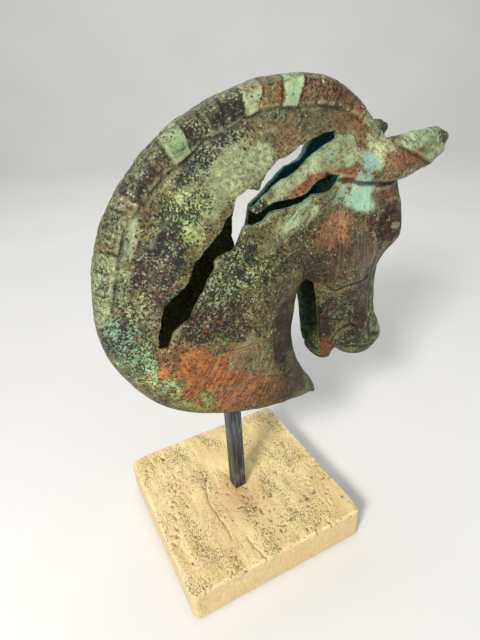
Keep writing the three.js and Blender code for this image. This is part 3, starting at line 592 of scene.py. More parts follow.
# The left flank has the same patinas in other places.
LEFT_PATCHES = [
    (-10, 310, 60, 9, 32, STONE_GREEN, OLIVE, 0.45, (0.4, 0.35, 0.05), 0.6),
    (30, 320, 34, 7, 15, (124, 100, 70), RUST, 0.4, (0.3, 0.2, 0.15), 0.5),
    (84, 316, 22, 8, -15, (122, 104, 72), SAGE, 0.4, (0.25, 0.2, 0.1), 0.4),
    (-36, 272, 26, 14, 60, MOSS, LIME, 0.45, (0.6, 0.55, 0.1), 0.0),
    (-66, 250, 22, 9, 78, SLATE, TURQUOISE, 0.45, (0.45, 0.4, 0.05), 0.1),
    (-10, 280, 26, 14, 40, SAGE, MINT, 0.45, (0.15, 0.2, 0.0), 0.2),
    (-60, 206, 22, 14, 110, (104, 100, 72), MINT, 0.45, (0.45, 0.4, 0.1), 0.0),
    (-30, 220, 24, 18, 50, (92, 84, 60), STONE_GREEN, 0.45, (0.6, 0.45, 0.2), 0.1),
    (-30, 176, 26, 18, 0, (146, 94, 58), LIME, 0.36, (0.2, 0.15, 0.2), 0.3),
    (10, 168, 30, 20, 0, (138, 90, 58), RUST, 0.45, (0.25, 0.1, 0.2), 0.4),
    (8, 240, 22, 22, 0, MOSS, LIME, 0.45, (0.6, 0.5, 0.25), 0.1),
    (26, 206, 18, 20, 0, (104, 92, 62), OLIVE, 0.45, (0.45, 0.3, 0.1), 0.6),
    (48, 148, 18, 18, 0, (96, 80, 56), MOSS, 0.45, (0.4, 0.25, 0.1), 0.2),
    (44, 294, 20, 8, 20, (126, 130, 94), MINT, 0.5, (0.15, 0.2, 0.05), 0.4),
    (90, 292, 20, 10, 0, (130, 104, 74), TURQUOISE, 0.5, (0.15, 0.2, 0.15), 0.2),
    (84, 252, 26, 20, 0, (128, 94, 66), RUST, 0.45, (0.3, 0.15, 0.25), 0.6),
    (72, 226, 20, 14, 0, (116, 90, 62), MINT, 0.38, (0.3, 0.2, 0.2), 0.5),
    (112, 250, 18, 18, 0, (98, 84, 60), STONE_GREEN, 0.4, (0.4, 0.3, 0.1), 0.1),
    (90, 192, 20, 16, 0, (86, 80, 54), (104, 124, 88), 0.5, (0.5, 0.45, 0.15), 0.1),
    (118, 206, 8, 24, 0, (106, 98, 72), (128, 148, 114), 0.5, (0.2, 0.2, 0.05), 0.5),
    (108, 158, 22, 14, 0, (84, 84, 58), (110, 126, 84), 0.5, (0.45, 0.4, 0.15), 0.0),
    (76, 160, 8, 22, 0, (112, 80, 52), ORANGE, 0.4, (0.3, 0.15, 0.2), 0.3),
    (130, 298, 22, 12, 0, (126, 108, 78), MINT, 0.45, (0.25, 0.3, 0.25), 0.0),
    (157, 304, 4, 4, 0, (104, 112, 88), STONE_GREEN, 0.4, (0.6, 0.3, 0.1), 0.0),
]


# Patches of the rest: tone, veil, cover, grains and streaks.
BARE_SKIN = (OLIVE, BROWN, 0.45, (0.4, 0.3, 0.1), 0.2)
PALE_RIM = ((108, 112, 88), (136, 150, 118), 0.5, (0.4, 0.3, 0.05), 0.2)
# painted highlight along the foot of the mane
FOOT_HIGHLIGHT = ((146, 156, 118), MINT, 0.5, (0.15, 0.2, 0.0), 0.3)
TORN_EDGE = (SAGE, MINT, 0.5, (0.2, 0.2, 0.05), 0.1)
LOW_HOLLOW = ((116, 122, 74), (58, 140, 140), 0.34, (0.3, 0.12, 0.0), 0.0)
HIGH_HOLLOW = ((92, 128, 108), (60, 170, 184), 0.56, (0.25, 0.12, 0.0), 0.0)
JAW_INSIDE = ((76, 104, 76), (100, 142, 108), 0.5, (0.4, 0.2, 0.05), 0.0)
GROOVE_REACH = 3.0  # how far round a groove the surface is compared with it, mm

# salts of the noise of the left and the right flank
RELIEF_SALT = (11, 3)
PATINA_SALT = (47, 41)


def band_depth(x, z):
    """How far inside the mane a place of the side view lies, below zero on the neck."""
    return inside_depth(MANE_LINE + MANE_OUTSIDE, x, z)


def tuft_values(x, z, pick, is_right):
    """For each place the value of the tuft it is in, and how near it is to the tuft's ends, in mm."""
    arm_x, arm_z = x - DISC_CENTRE[0], z - DISC_CENTRE[1]
    reach = np.hypot(arm_x, arm_z)
    angle = np.degrees(np.arctan2(arm_z, arm_x)) % 360
    angle = np.where(angle > 300, angle - 360, angle) + (0.0 if is_right else TUFT_SHIFT)
    ends = np.array([tuft[0] for tuft in TUFTS], float)
    values = np.array([pick(tuft) for tuft in TUFTS], float)
    which = np.clip(np.searchsorted(ends, angle), 0, len(TUFTS) - 1)
    gap = np.abs(angle[..., None] - ends).min(-1)
    return values[which], np.radians(gap) * reach


def band_relief(x, z, is_right):
    """Height of the mane's tufts over the neck, in mm."""
    salt = RELIEF_SALT[is_right]
    uneven = band_depth(x, z) + 1.2 * fractal(x, 0 * x, z, 9, 2, salt)
    height, end = tuft_values(x + 1.6 * noise(x, 0 * x, z, 9, salt), z, lambda tuft: tuft[1], is_right)
    relief = BAND_STEP + height - TUFT_GROOVE * np.exp(-((end / 0.8) ** 2))
    return smoothstep(-BAND_EDGE, BAND_EDGE, uneven) * relief


def flank_relief(x, z, is_right):
    """Height of the rest of the modelled detail over the plain form of one flank, in mm."""
    salt = RELIEF_SALT[is_right]
    relief = 0 * x
    for points, half, rise in STROKES:
        line = smooth_loop(points, closed=False)
        bend = 0.8 * noise(x, 0 * x, z, 7, salt + 1)
        relief += rise * np.exp(-(((line_distance(line, x, z) + bend * 0.4) / half) ** 2))
    (eye_x, eye_z), length, height, rise = EYE
    eye = np.hypot((x - eye_x) / length, (z - eye_z) / height)
    relief += rise * np.sqrt(np.clip(1 - eye**2, 0, 1))
    tear = inside_depth(RIGHT_TEAR if is_right else LEFT_TEAR, x, z)
    relief += 0.35 * np.exp(-((tear / 3.0) ** 2))
    relief += 0.7 * fractal(x, 0 * x, z, 24, 2, salt + 2) + 0.3 * fractal(x, 0 * x, z, 7, 2, salt + 4)
    return relief


def body_field(depth, half, rounding, y, inset):
    """Below zero inside the head and neck without the ears, with the skin moved inwards by the inset."""
    half = np.maximum(half - inset, 0.5)
    rounding = np.maximum(rounding - inset / 2, 1.5)
    edge = np.maximum(0, 1 - (depth - inset) / rounding)
    reach = (edge**ROUNDNESS + (np.abs(y) / half) ** ROUNDNESS) ** (1 / ROUNDNESS)
    return (reach - 1) * np.minimum(half, 2 * rounding)


def ear_field(x, y, z, side):
    """Below zero inside one ear: side is 1 for the left one and -1 for the right one."""
    nearest = 1e9
    for (root, half_a, thick_a), (end, half_b, thick_b) in zip(EAR, EAR[1:]):
        root, end = np.array(root) * [1, side, 1], np.array(end) * [1, side, 1]
        along = end - root
        length = np.linalg.norm(along)
        axis = along / length
        dx, dy, dz = x - root[0], y - root[1], z - root[2]
        t = np.clip((dx * axis[0] + dy * axis[1] + dz * axis[2]) / length, 0, 1)
        dx, dy, dz = dx - t * along[0], dy - t * along[1], dz - t * along[2]
        up = np.array([0, -EAR_LEAN * side, 1.0])
        up -= axis * (up @ axis)
        up /= np.linalg.norm(up)
        flat = np.cross(axis, up)
        half = half_a * (1 - t) + half_b * t
        thick = thick_a * (1 - t) + thick_b * t
        parts = [dx * v[0] + dy * v[1] + dz * v[2] for v in (up, flat, axis)]
        size = np.sqrt((parts[0] / half) ** 2 + (parts[1] / thick) ** 2 + (parts[2] / thick) ** 2)
        nearest = np.minimum(nearest, (size - 1) * np.minimum(half, thick))
    return nearest


def box_blur(sheet, reach):
    """A sheet or a block of values smoothed over a square or a cube of 2 * reach + 1 cells."""
    for axis in range(sheet.ndim):
        widths = [(reach + 1, reach) if n == axis else (0, 0) for n in range(sheet.ndim)]
        padded = np.pad(sheet, widths, mode="edge")
        total = np.cumsum(padded, axis=axis)
        size = 2 * reach + 1
        high = np.take(total, range(size, total.shape[axis]), axis=axis)
        low = np.take(total, range(0, total.shape[axis] - size), axis=axis)
        sheet = (high - low) / size
    return sheet


def sample(values, axes, points):
    """Values of a grid at places between its nodes; the grid has one axis for each column of points."""
    lows, parts = [], []
    for axis, column in zip(axes, points.T):
        scaled = np.clip((column - axis[0]) / (axis[1] - axis[0]), 0, len(axis) - 1.001)
        low = scaled.astype(np.int64)
        lows.append(low)
        parts.append(scaled - low)
    total = 0
    for corner in range(2 ** len(axes)):
        bits = [(corner >> n) & 1 for n in range(len(axes))]
        weight = 1
        for bit, part in zip(bits, parts):
            weight = weight * (part if bit else 1 - part)
        total = total + weight * values[tuple(low + bit for low, bit in zip(lows, bits))]
    return total


# ---------------------------------------------------------------- the bronze
MANE, NECK_RIGHT, NECK_LEFT, HEAD_RIGHT, HEAD_LEFT, EAR_RIGHT, EAR_LEFT = range(1, 8)
PIECES = {
    MANE: ("mane_crest", "bronze_mane"),
    NECK_RIGHT: ("neck_right", "bronze_verdigris"),
    NECK_LEFT: ("neck_left", "bronze_verdigris"),
    HEAD_RIGHT: ("head_right", "bronze_rust"),
    HEAD_LEFT: ("head_left", "bronze_rust"),
    EAR_RIGHT: ("ear_right", "bronze_rust"),
    EAR_LEFT: ("ear_left", "bronze_rust"),
}

axes = grid_axes(BUST_LOW, BUST_HIGH, BRONZE_STEP)
side_x, side_z = np.meshgrid(axes[0], axes[2], indexing="ij")
outline = smooth_loop(CREST + NECK_EDGE + JAW_EDGE + FACE_EDGE)
depth = line_distance(outline, side_x, side_z, closed=True)
half_width = np.clip(relief_sheet([row[2] for row in RELIEF], side_x, side_z), *HALF_WIDTHS)
rounding = np.clip(relief_sheet([row[3] for row in RELIEF], side_x, side_z), *ROUNDINGS)
flanks = {side: flank_relief(side_x, side_z, side == "right") for side in ("right", "left")}
bands = {side: band_relief(side_x, side_z, side == "right") for side in ("right", "left")}


def layer(sheet):
    return sheet[:, None, :].astype(np.float32)


x = axes[0][:, None, None].astype(np.float32)
y = axes[1][None, :, None].astype(np.float32)
z = axes[2][None, None, :].astype(np.float32)
plain = body_field(layer(depth), layer(half_width), layer(rounding), y, 0.0)
hollow = body_field(layer(depth), layer(half_width), layer(rounding), y, WALL)
to_left = smoothstep(-SIDE_BLEND, SIDE_BLEND, y)
flank, band = (
    layer(sheets["right"]) * (1 - to_left) + layer(sheets["left"]) * to_left for sheets in (flanks, bands)
)

ears = {}
low_end, high_end = EAR_ROOM["z"]
ahead, high = axes[0] > EAR_ROOM["x"], (axes[2] > low_end) & (axes[2] < high_end)
for side, sign in (("right", -1), ("left", 1)):
    ear = np.full(plain.shape, 1e3, np.float32)
    beside = sign * axes[1] > EAR_ROOM["y"]
    ear[np.ix_(ahead, beside, high)] = ear_field(x[ahead], y[:, beside], z[:, :, high], sign)
    ears[side] = ear
leaf = np.minimum(ears["right"], ears["left"])
skin = smooth_min(plain, leaf, EAR_BLEND)
on_leaf = smoothstep(-1.5, 1.5, plain - leaf)
mane_share = smoothstep(-BAND_EDGE, BAND_EDGE, band_depth(side_x, side_z))
worn = layer(RIM_WORN * mane_share * (1 - smoothstep(0.0, RIM_REACH, depth)))
skin = skin - flank * (1 - EAR_SMOOTH * on_leaf) - (band - worn) * (1 - on_leaf)
skin = skin - SKIN_GRAIN * fractal(x, y, z, 5.0, 2, 21).astype(np.float32)
# the highest and rearmost places are worn down into the CAD model's box
cad_low, cad_high = np.array(cad_box) / METRES
skin = smooth_max(skin, np.maximum(z - cad_high[2], cad_low[0] - x), CUT_SOFTNESS)

shell = smooth_max(skin, -(hollow + HOLLOW_UNEVEN * fractal(x, y, z, 9.0, 2, 25)), 0.8)
slot = np.minimum(layer(inside_depth(JAW_SLOT, side_x, side_z)), JAW_SLOT_HALF - np.abs(y))
mouth_run = NECK_MOUTH["half_length"] - NECK_MOUTH["radius"]
mouth = NECK_MOUTH["radius"] - np.hypot(x - np.clip(x, -mouth_run, mouth_run), y)
mouth = np.minimum(mouth, NECK_MOUTH["top"] - z)
ragged = TEAR_RAGGED * fractal(side_x, 0 * side_x, side_z, 5.0, 3, 31) + TEAR_WORN
right_tear, left_tear = (
    layer(inside_depth(tear, side_x, side_z) + ragged) for tear in (RIGHT_TEAR, LEFT_TEAR)
)
for opening in (slot, mouth, np.minimum(right_tear, -y), np.minimum(left_tear, y)):
    shell = smooth_max(shell, opening, CUT_SOFTNESS)

is_mane = layer(band_depth(side_x, side_z)) > 0
is_head = layer(inside_depth(HEAD_SEAM + HEAD_OUTSIDE, side_x, side_z)) > 0
is_right = y < 0
label = np.where(is_head, np.where(is_right, HEAD_RIGHT, HEAD_LEFT), NECK_LEFT)
label = np.where(is_right & ~is_head, NECK_RIGHT, label)
label = np.where(is_mane, MANE, label)
for side, ear_label in (("right", EAR_RIGHT), ("left", EAR_LEFT)):
    # metal goes with the most of the metal round it, so that no loose flakes are left
    is_ear = (plain - flank > 0.5) & (ears[side] < EAR_LIMIT)
    vote = box_blur(np.where(is_ear, 1.0, -1.0) * (shell < 0), EAR_VOTE_REACH)
    label = np.where(vote > 0.02, ear_label, label)
label = label.astype(np.int8)
bronze_points, bronze_normals, bronze_quads = labelled_pieces(shell, label, axes)


# ---- patina, worked out at each vertex
def patch_values(patch):
    """A patch's tone, streak, veil, cover and grains as one row of numbers."""
    tone, veil, cover, grains, streak = patch
    return np.array([*linear(tone), streak, *linear(veil), cover, *grains], float)


def flank_patina(x, z, on_ear, is_right):
    """Tone, streak, veil, cover, dark, light and red grains at places of one flank."""
    salt = PATINA_SALT[is_right]
    jitter = 0.7 * fractal(x, 0 * x, z, 9, 4, salt)
    values = np.tile(patch_values(BARE_SKIN), (len(x), 1))
    for mid_x, mid_z, half, across, turn, *patch in RIGHT_PATCHES if is_right else LEFT_PATCHES:
        c, s = math.cos(math.radians(turn)), math.sin(math.radians(turn))
        along = ((x - mid_x) * c + (z - mid_z) * s) / (half + 2)
        over = ((z - mid_z) * c - (x - mid_x) * s) / (across + 2)
        weight = 1 - smoothstep(0.7, 1.2, np.hypot(along, over) + jitter)
        values += weight[:, None] * (patch_values(patch) - values)
    band = smoothstep(-0.6, 0.8, band_depth(x, z) + 1.2 * jitter) * (1 - on_ear)
    wander = 2.2 * fractal(x, 0 * x, z, 8, 2, salt + 5)
    tuft, _ = tuft_values(x + wander, z + wander, lambda t: patch_values((*t[2:], TUFT_STREAK)), is_right)
    return values + band[:, None] * (tuft - values)


def flow(points):
    """Across and along the way the surface was brushed, in mm: round the neck, and down the face."""
    x, y, z = points.T
    arm_x, arm_z = x - DISC_CENTRE[0], z - DISC_CENTRE[1]
    around = np.arctan2(arm_x, arm_z) * 90
    across, along = np.hypot(arm_x, arm_z), around
    for weight, turn in (
        (smoothstep(52, 66, x) * (1 - smoothstep(270, 284, z)), 95),
        ((1 - smoothstep(190, 206, z)) * (1 - smoothstep(54, 66, x)), 58),
        (smoothstep(20, 44, x) * smoothstep(270, 284, z) * (1 - smoothstep(314, 326, z)), 17),
        (smoothstep(16, 28, x) * smoothstep(236, 246, z) * (1 - smoothstep(56, 66, x)), 40),
    ):
        c, s = math.cos(math.radians(turn)), math.sin(math.radians(turn))
        across = across + weight * (z * c - x * s - across)
        along = along + weight * (x * c + z * s - along)
    # strokes run out from the neck over the mane
    on_mane = band_depth(x, z) > 0
    across = np.where(on_mane, around, across)
    along = np.where(on_mane, np.hypot(arm_x, arm_z), along)
    return np.c_[across, y, along]


def patina(points, normals):
    """The row of patch values at each vertex, and how deep it lies in a groove, from -0.6 to 1."""
    x, y, z = points.T
    to_left = smoothstep(-3, 3, y)[:, None]
    on_ear = smoothstep(-1.0, 1.0, sample(plain - leaf, axes, points))
    right, left = flank_patina(x, z, on_ear, True), flank_patina(x, z, on_ear, False)
    values = right * (1 - to_left) + left * to_left

    def lay(share, patch):
        values[:] += share[:, None] * (patch - values)

    # the narrow rim of the crest is rubbed pale
    rim = smoothstep(0.55, 0.9, np.hypot(normals[:, 0], normals[:, 2]))
    lay(0.6 * rim * smoothstep(-2, 1, band_depth(x, z)) * (1 - on_ear), patch_values(PALE_RIM))
    # a pale line along the foot of the mane is painted highlight, where the mane's step catches the light
    foot_highlight = band_depth(x, z) + 1.2 * fractal(x, 0 * x, z, 9, 2, 3) + 1.8
    foot_highlight = np.exp(-((foot_highlight / 0.9) ** 2)) * (1 - on_ear) * (0.45 + 0.9 * noise(x, y, z, 16, 91))
    lay(np.clip(foot_highlight, 0, 0.8), patch_values(FOOT_HIGHLIGHT))
    # torn edges show pale green metal, unless the skin beside them is crusted
    tear = np.where(y < 0, *(inside_depth(line, x, z) for line in (RIGHT_TEAR, LEFT_TEAR)))
    lip = np.exp(-((tear / 1.4) ** 2)) * (1 - 0.85 * smoothstep(0.35, 0.6, values[:, 8]))
    lay(0.7 * lip, patch_values(TORN_EDGE))
    # the hollow
    inner = 1 - smoothstep(0.9, 2.6, sample(hollow, axes, points))
    inner *= 1 - smoothstep(0.5, 2.0, sample(plain, axes, points))
    low = (1 - smoothstep(250, 276, z))[:, None]
    high_values = patch_values(HIGH_HOLLOW)
    lay(inner, high_values + low * (patch_values(LOW_HOLLOW) - high_values))
    jaw = np.minimum(inside_depth(JAW_SLOT, x, z), JAW_SLOT_HALF + 0.7 - np.abs(y))
    in_jaw = smoothstep(-1.5, 0.5, jaw)
    lay(in_jaw, patch_values(JAW_INSIDE))
    # grooves hold dirt
    # how deep each place lies in a groove; the material paints grooves darker and ridges paler
    cavity = 0
    for side, share in (("right", 1 - to_left[:, 0]), ("left", to_left[:, 0])):
        sheet = flanks[side] + bands[side]
        groove = box_blur(sheet, max(2, round(GROOVE_REACH / BRONZE_STEP))) - sheet
        cavity = cavity + share * sample(groove, (axes[0], axes[2]), points[:, [0, 2]])
    return values, np.clip(cavity * 1.1, -0.6, 1) * (1 - inner) * (1 - in_jaw)


bronze_values, bronze_cavity = patina(bronze_points, bronze_normals)
bronze_flow = flow(bronze_points)


def store(mesh, name, columns):
    attribute = mesh.attributes.new(name, "FLOAT_COLOR", "POINT")
    attribute.data.foreach_set("color", np.ascontiguousarray(columns, np.float32).ravel())


# ---------------------------------------------------------------- materials
def rgba(tone):
    return (*linear(tone), 1.0)


class Shader:
    """One material's node tree, with short names for its nodes, and the colour painted so far.

    A tone of three numbers is sRGB from 0 to 255. A factor of four numbers is linear.
    """

    def __init__(self, name):
        self.material = bpy.data.materials.new(name)
        self.material.use_nodes = True
        self.tree = self.material.node_tree
        self.tree.nodes.clear()
        self.surface = self.tree.nodes.new("ShaderNodeBsdfPrincipled")
        output = self.tree.nodes.new("ShaderNodeOutputMaterial")
        self.tree.links.new(self.surface.outputs[0], output.inputs[0])
        place = self.tree.nodes.new("ShaderNodeTexCoord").outputs["Object"]
        # object coordinates in millimetres
        self.place = self.vector("MULTIPLY", place, (1000, 1000, 1000))
        self.colour = None

    def put(self, socket, value):
        if isinstance(value, bpy.types.NodeSocket):
            self.tree.links.new(value, socket)
        else:
            socket.default_value = value

    def node(self, kind, values, **settings):
        node = self.tree.nodes.new(kind)
        for name, setting in settings.items():
            setattr(node, name, setting)
        for index, value in values.items():
            self.put(node.inputs[index], value)
        return node

    def set(self, **values):
        for name, value in values.items():
            self.put(self.surface.inputs[name.replace("_", " ")], value)

    def vector(self, operation, a, b):
        return self.node("ShaderNodeVectorMath", {0: a, 1: b}, operation=operation).outputs[0]

    def math(self, operation, a, b):
        return self.node("ShaderNodeMath", {0: a, 1: b}, operation=operation).outputs[0]

    def add(self, a, b):
        return self.math("ADD", a, b)

    def minus(self, a, b):
        return self.math("SUBTRACT", a, b)

    def times(self, a, b):
        return self.math("MULTIPLY", a, b)

    def fade(self, value, low, high, bottom=0.0, top=1.0):
        inputs = {0: value, 1: low, 2: high, 3: bottom, 4: top}
        return self.node("ShaderNodeMapRange", inputs, interpolation_type="SMOOTHSTEP").outputs[0]

    def blend(self, factor, a, b, mode="MIX"):
        a, b = (rgba(value) if isinstance(value, tuple) and len(value) == 3 else value for value in (a, b))
        inputs = {0: factor, 6: a, 7: b}
        return self.node("ShaderNodeMix", inputs, data_type="RGBA", blend_type=mode).outputs[2]

    def lay(self, share, tone):
        """Lay a tone over the colour painted so far."""
        self.colour = self.blend(share, self.colour, tone)

    def tint(self, share, factor):
        """Multiply the colour painted so far by a factor."""
        self.colour = self.blend(share, self.colour, factor, "MULTIPLY")

    def noise(self, place, size, detail=3.0, rough=0.55, distortion=0.0):
        inputs = {"Vector": place, "Scale": 1 / size, "Detail": detail, "Roughness": rough}
        inputs["Distortion"] = distortion
        return self.node("ShaderNodeTexNoise", inputs).outputs[0]

    def cells(self, place, size):
        return self.node("ShaderNodeTexVoronoi", {"Vector": place, "Scale": 1 / size})

    def turned(self, place, stretch, turn=0.0, shift=(0, 0, 0)):
        """Places turned about Z by some degrees, then stretched and shifted."""
        inputs = {"Vector": place, 1: shift, 2: (0, 0, math.radians(turn)), 3: stretch}
        return self.node("ShaderNodeMapping", inputs).outputs[0]

    def shaken(self, size, reach):
        """Places of the object moved about by noise."""
        away = self.node("ShaderNodeTexNoise", {"Vector": self.place, "Scale": 1 / size}).outputs[1]
        away = self.vector("SUBTRACT", away, (0.5,) * 3)
        return self.vector("ADD", self.place, self.vector("MULTIPLY", away, (reach,) * 3))

    def attribute(self, name):
        node = self.node("ShaderNodeAttribute", {}, attribute_name=name)
        return node.outputs["Color"], node.outputs["Alpha"]

    def channels(self, colour):
        return self.node("ShaderNodeSeparateColor", {0: colour}).outputs

    def bump(self, height, distance, strength=1.0):
        inputs = {"Height": height, "Distance": distance * METRES, "Strength": strength}
        self.put(self.surface.inputs["Normal"], self.node("ShaderNodeBump", inputs).outputs[0])


CRUMB = 1.05  # mean size of a crumb of crust, mm
SAND = 0.75  # and of the finer grains between them
SPECK = 2.1  # mean distance between places where a red or blue speck may be, mm
SOFT_EDGE = 0.02  # how softly a grain ends


class Bronze(Shader):
    """The patina: paint and brush strokes, then crumbs of crust, specks, and grooves painted darker."""

    def __init__(self):
        super().__init__("patinated_bronze")
        self.tone, self.streak = self.attribute("tone")
        self.veil, self.cover = self.attribute("veil")
        grain, self.cavity = self.attribute("grain")
        self.dark, self.light, self.red = self.channels(grain)[:3]
        self.moved = self.shaken(9, 5)
        self.fine = self.noise(self.place, 1.1, 4.0, 0.7)
        self.paint()
        self.add_crust()
        self.add_specks()
        self.add_broad_tone_and_grooves()
        self.finish()

    def paint(self):
        brushing = self.attribute("flow")[0]
        even = self.noise(self.moved, 6.0, 9.0, 0.66, 0.3)
        brushed = self.noise(self.turned(brushing, (1, 1, 0.14)), 2.6, 7.0, 0.66, 0.3)
        cloud = self.add(self.times(even, self.minus(1.0, self.streak)), self.times(brushed, self.streak))
        self.veiled = self.fade(self.add(cloud, self.cover), 0.97, 1.03)
        mottle = self.fade(self.noise(self.moved, 2.4, 8.0, 0.74, 0.4), 0.38, 0.62)
        mottle = self.blend(mottle, (0.42, 0.42, 0.42, 1), (1.3, 1.26, 1.2, 1))
        under = self.blend(1.0, self.tone, mottle, "MULTIPLY")
        uneven = self.blend(brushed, (0.55, 0.57, 0.57, 1), (1.25, 1.24, 1.2, 1))
        over = self.blend(1.0, self.veil, uneven, "MULTIPLY")
        self.colour = self.blend(self.times(self.veiled, 0.88), under, over)
        # single strokes of the brush, pale and dark
        strokes = self.noise(self.turned(brushing, (1, 1, 0.07), shift=(17, 3, 8)), 2.2, 4.0, 0.62, 0.2)
        share = self.times(self.streak, 0.8)
        pale = self.blend(0.6, self.tone, self.blend(0.5, self.veil, (178, 168, 122)))
        self.lay(self.times(self.fade(strokes, 0.54, 0.58), share), pale)
        dark = self.blend(1.0, self.tone, (0.3, 0.3, 0.28, 1), "MULTIPLY")
        self.lay(self.times(self.fade(strokes, 0.45, 0.41), share), dark)
        warm = self.noise(self.turned(self.moved, (1, 1, 1), shift=(80, 40, 10)), 13.0, 6.0, 0.6)
        self.lay(self.times(self.fade(warm, 0.55, 0.68), 0.35), (112, 72, 42))

    def grains(self, chance, draw):
        """Where a cell's random draw falls below the chance of a grain."""
        return self.fade(self.minus(chance, draw), -SOFT_EDGE, SOFT_EDGE)

    def add_crust(self):
        """Crumbs of crust: each cell takes its own dark, pale or middling tone."""
        amount = self.add(self.dark, self.light)
        clump = self.noise(self.turned(self.place, (1, 1, 1), shift=(31, 7, 55)), 6.5, 5.0, 0.62)
        lean = self.times(self.minus(clump, 0.5), self.fade(amount, 0.4, 1.05, 0.06, 1.7))
        shaken = self.shaken(1.5, 1.6)
        crumb, sand = (self.channels(self.cells(shaken, size).outputs["Color"]) for size in (CRUMB, SAND))
        crusted = self.fade(amount, 0.4, 1.05, 0.15, 0.95)
        self.tint(crusted, self.blend(crumb[2], (0.72, 0.92, 0.78, 1), (1.3, 1.06, 0.88, 1)))
        self.tint(crusted, self.fade(sand[1], 0.0, 1.0, 0.74, 1.24))

        light, dark = (self.times(share, share) for share in (self.light, self.dark))
        self.pale = self.grains(self.minus(self.times(light, 1.1), lean), crumb[0])
        fresh = self.blend(self.fade(crumb[2], 0.1, 0.9), (100, 148, 100), (196, 198, 158))
        self.lay(self.times(self.pale, 0.72), self.blend(0.4, fresh, self.veil))
        self.black = self.grains(self.add(self.times(dark, 1.15), lean), crumb[1])
        self.lay(self.times(self.black, 0.9), self.blend(crumb[0], (16, 20, 32), (42, 32, 28)))
        pepper_chance = self.add(self.times(dark, 0.45), self.add(self.times(lean, 0.3), 0.01))
        self.lay(self.times(self.grains(pepper_chance, sand[0]), 0.72), (30, 25, 22))

    def add_specks(self):
        cells = self.cells(self.place, SPECK)
        draw = self.channels(cells.outputs["Color"])
        dot = self.fade(cells.outputs["Distance"], 0.38, 0.22)
        is_red = self.fade(self.minus(self.times(self.red, 0.3), draw[0]), -0.005, 0.005)
        self.lay(self.times(self.times(dot, is_red), 0.85), (158, 70, 44))
        is_blue = self.fade(draw[1], 0.012, 0.006)
        self.lay(self.times(self.times(dot, is_blue), 0.8), (76, 138, 156))

    def add_broad_tone_and_grooves(self):
        broad = self.fade(self.noise(self.place, 17.0, 4.0, 0.55), 0.3, 0.7)
        self.tint(1.0, self.blend(broad, (0.72, 0.72, 0.74, 1), (1.2, 1.2, 1.16, 1)))
        # grooves are painted darker and raised places paler, from the depth of the relief
        groove_dark = self.fade(self.add(self.cavity, self.times(self.fine, 0.2)), 0.12, 0.75)
        self.lay(self.times(groove_dark, 0.75), (34, 28, 20))
        self.lay(self.times(self.fade(self.cavity, -0.12, -0.5), 0.3), (186, 190, 146))

    def finish(self):
        crust = self.math("MAXIMUM", self.pale, self.times(self.veiled, 0.5))
        bare = self.minus(1.0, crust)
        rough = self.add(self.fade(self.fine, 0.3, 0.7, 0.42, 0.64), self.times(crust, 0.16))
        self.set(Base_Color=self.colour, Roughness=rough, Metallic=self.times(bare, 0.22))
        lacquer = self.times(self.fade(self.streak, 0.3, 0.75, 0.03, 0.5), bare)
        self.set(Coat_Weight=lacquer, Coat_Roughness=0.12, Specular_IOR_Level=0.28)
        height = self.add(self.times(self.pale, 0.5), self.times(self.black, -0.45))
        height = self.add(height, self.add(self.times(self.veiled, 0.25), self.times(self.fine, 0.6)))
        height = self.add(height, self.times(self.noise(self.moved, 3.2, 4.0, 0.6), 1.3))
        self.bump(height, 0.55)


def travertine_material():
    s = Shader("travertine")
    pit, edge = s.attribute("pit")
    bedding = s.turned(s.place, (1, 0.22, 1), 3)
    bands = s.noise(bedding, 7.0, 6.0, 0.6, 0.6)
    clouds = s.noise(s.place, 24.0, 5.0, 0.55)
    fine = s.noise(s.place, 0.9, 4.0, 0.65)
    s.colour = s.blend(s.fade(bands, 0.35, 0.66), (232, 212, 156), (208, 184, 122))
    s.lay(s.fade(clouds, 0.42, 0.66, 0.0, 0.6), (222, 190, 146))
    # the stone is pinker in front of the post
    pink_place = (-6, -14, 31)
    away = s.node("ShaderNodeVectorMath", {0: s.place, 1: pink_place}, operation="DISTANCE").outputs[1]
    s.lay(s.fade(s.add(away, s.times(clouds, 30)), 52, 16, 0.0, 0.6), (206, 158, 118))
    on_top = s.fade(s.node("ShaderNodeSeparateXYZ", {0: s.place}).outputs[2], 28.5, 30.8)
    on_side = s.minus(1.0, on_top)
    s.lay(s.times(on_side, 0.5), (218, 192, 146))
    s.lay(s.fade(edge, 0.2, 0.9, 0.0, 0.5), (236, 220, 176))
    s.lay(s.times(s.fade(s.noise(bedding, 2.6, 5.0, 0.7, 1.2), 0.6, 0.68), 0.45), (168, 142, 92))
    # small pits
    grains = s.noise(s.turned(s.place, (1, 0.5, 1), 6), 0.85, 4.0, 0.66, 0.6)
    patches = s.noise(s.turned(s.place, (1, 0.6, 1), shift=(40, 9, 3)), 19.0, 3.0, 0.5)
    share = s.add(s.times(patches, 0.42), s.times(on_top, 0.09))
    small = s.fade(s.add(grains, share), 0.88, 0.92)
    s.lay(s.times(small, 0.75), s.blend(clouds, (78, 80, 44), (96, 82, 56)))
    # scratches, and the grain of the sawn sides
    scratch = s.fade(s.noise(s.turned(s.place, (1, 0.06, 1), -38), 1.1, 4.0, 0.7), 0.6, 0.66)
    s.lay(s.times(scratch, 0.3), (244, 232, 192))
    side_grain = s.fade(s.noise(s.turned(s.place, (1, 1, 0.3)), 1.3, 5.0, 0.72), 0.4, 0.62)
    s.lay(s.times(s.times(side_grain, on_side), 0.4), (180, 154, 110))
    s.lay(s.times(s.fade(s.channels(pit)[0], 0.3, 1.1), 0.8), (62, 60, 40))
    s.tint(1.0, s.blend(fine, (0.74, 0.74, 0.72, 1), (1.2, 1.2, 1.18, 1)))
    s.set(Base_Color=s.colour, Roughness=s.fade(bands, 0.3, 0.7, 0.62, 0.46), Specular_IOR_Level=0.35)
    s.bump(s.add(s.times(small, -0.9), s.add(s.times(fine, 0.25), s.times(bands, 0.5))), 0.5)
    return s.material


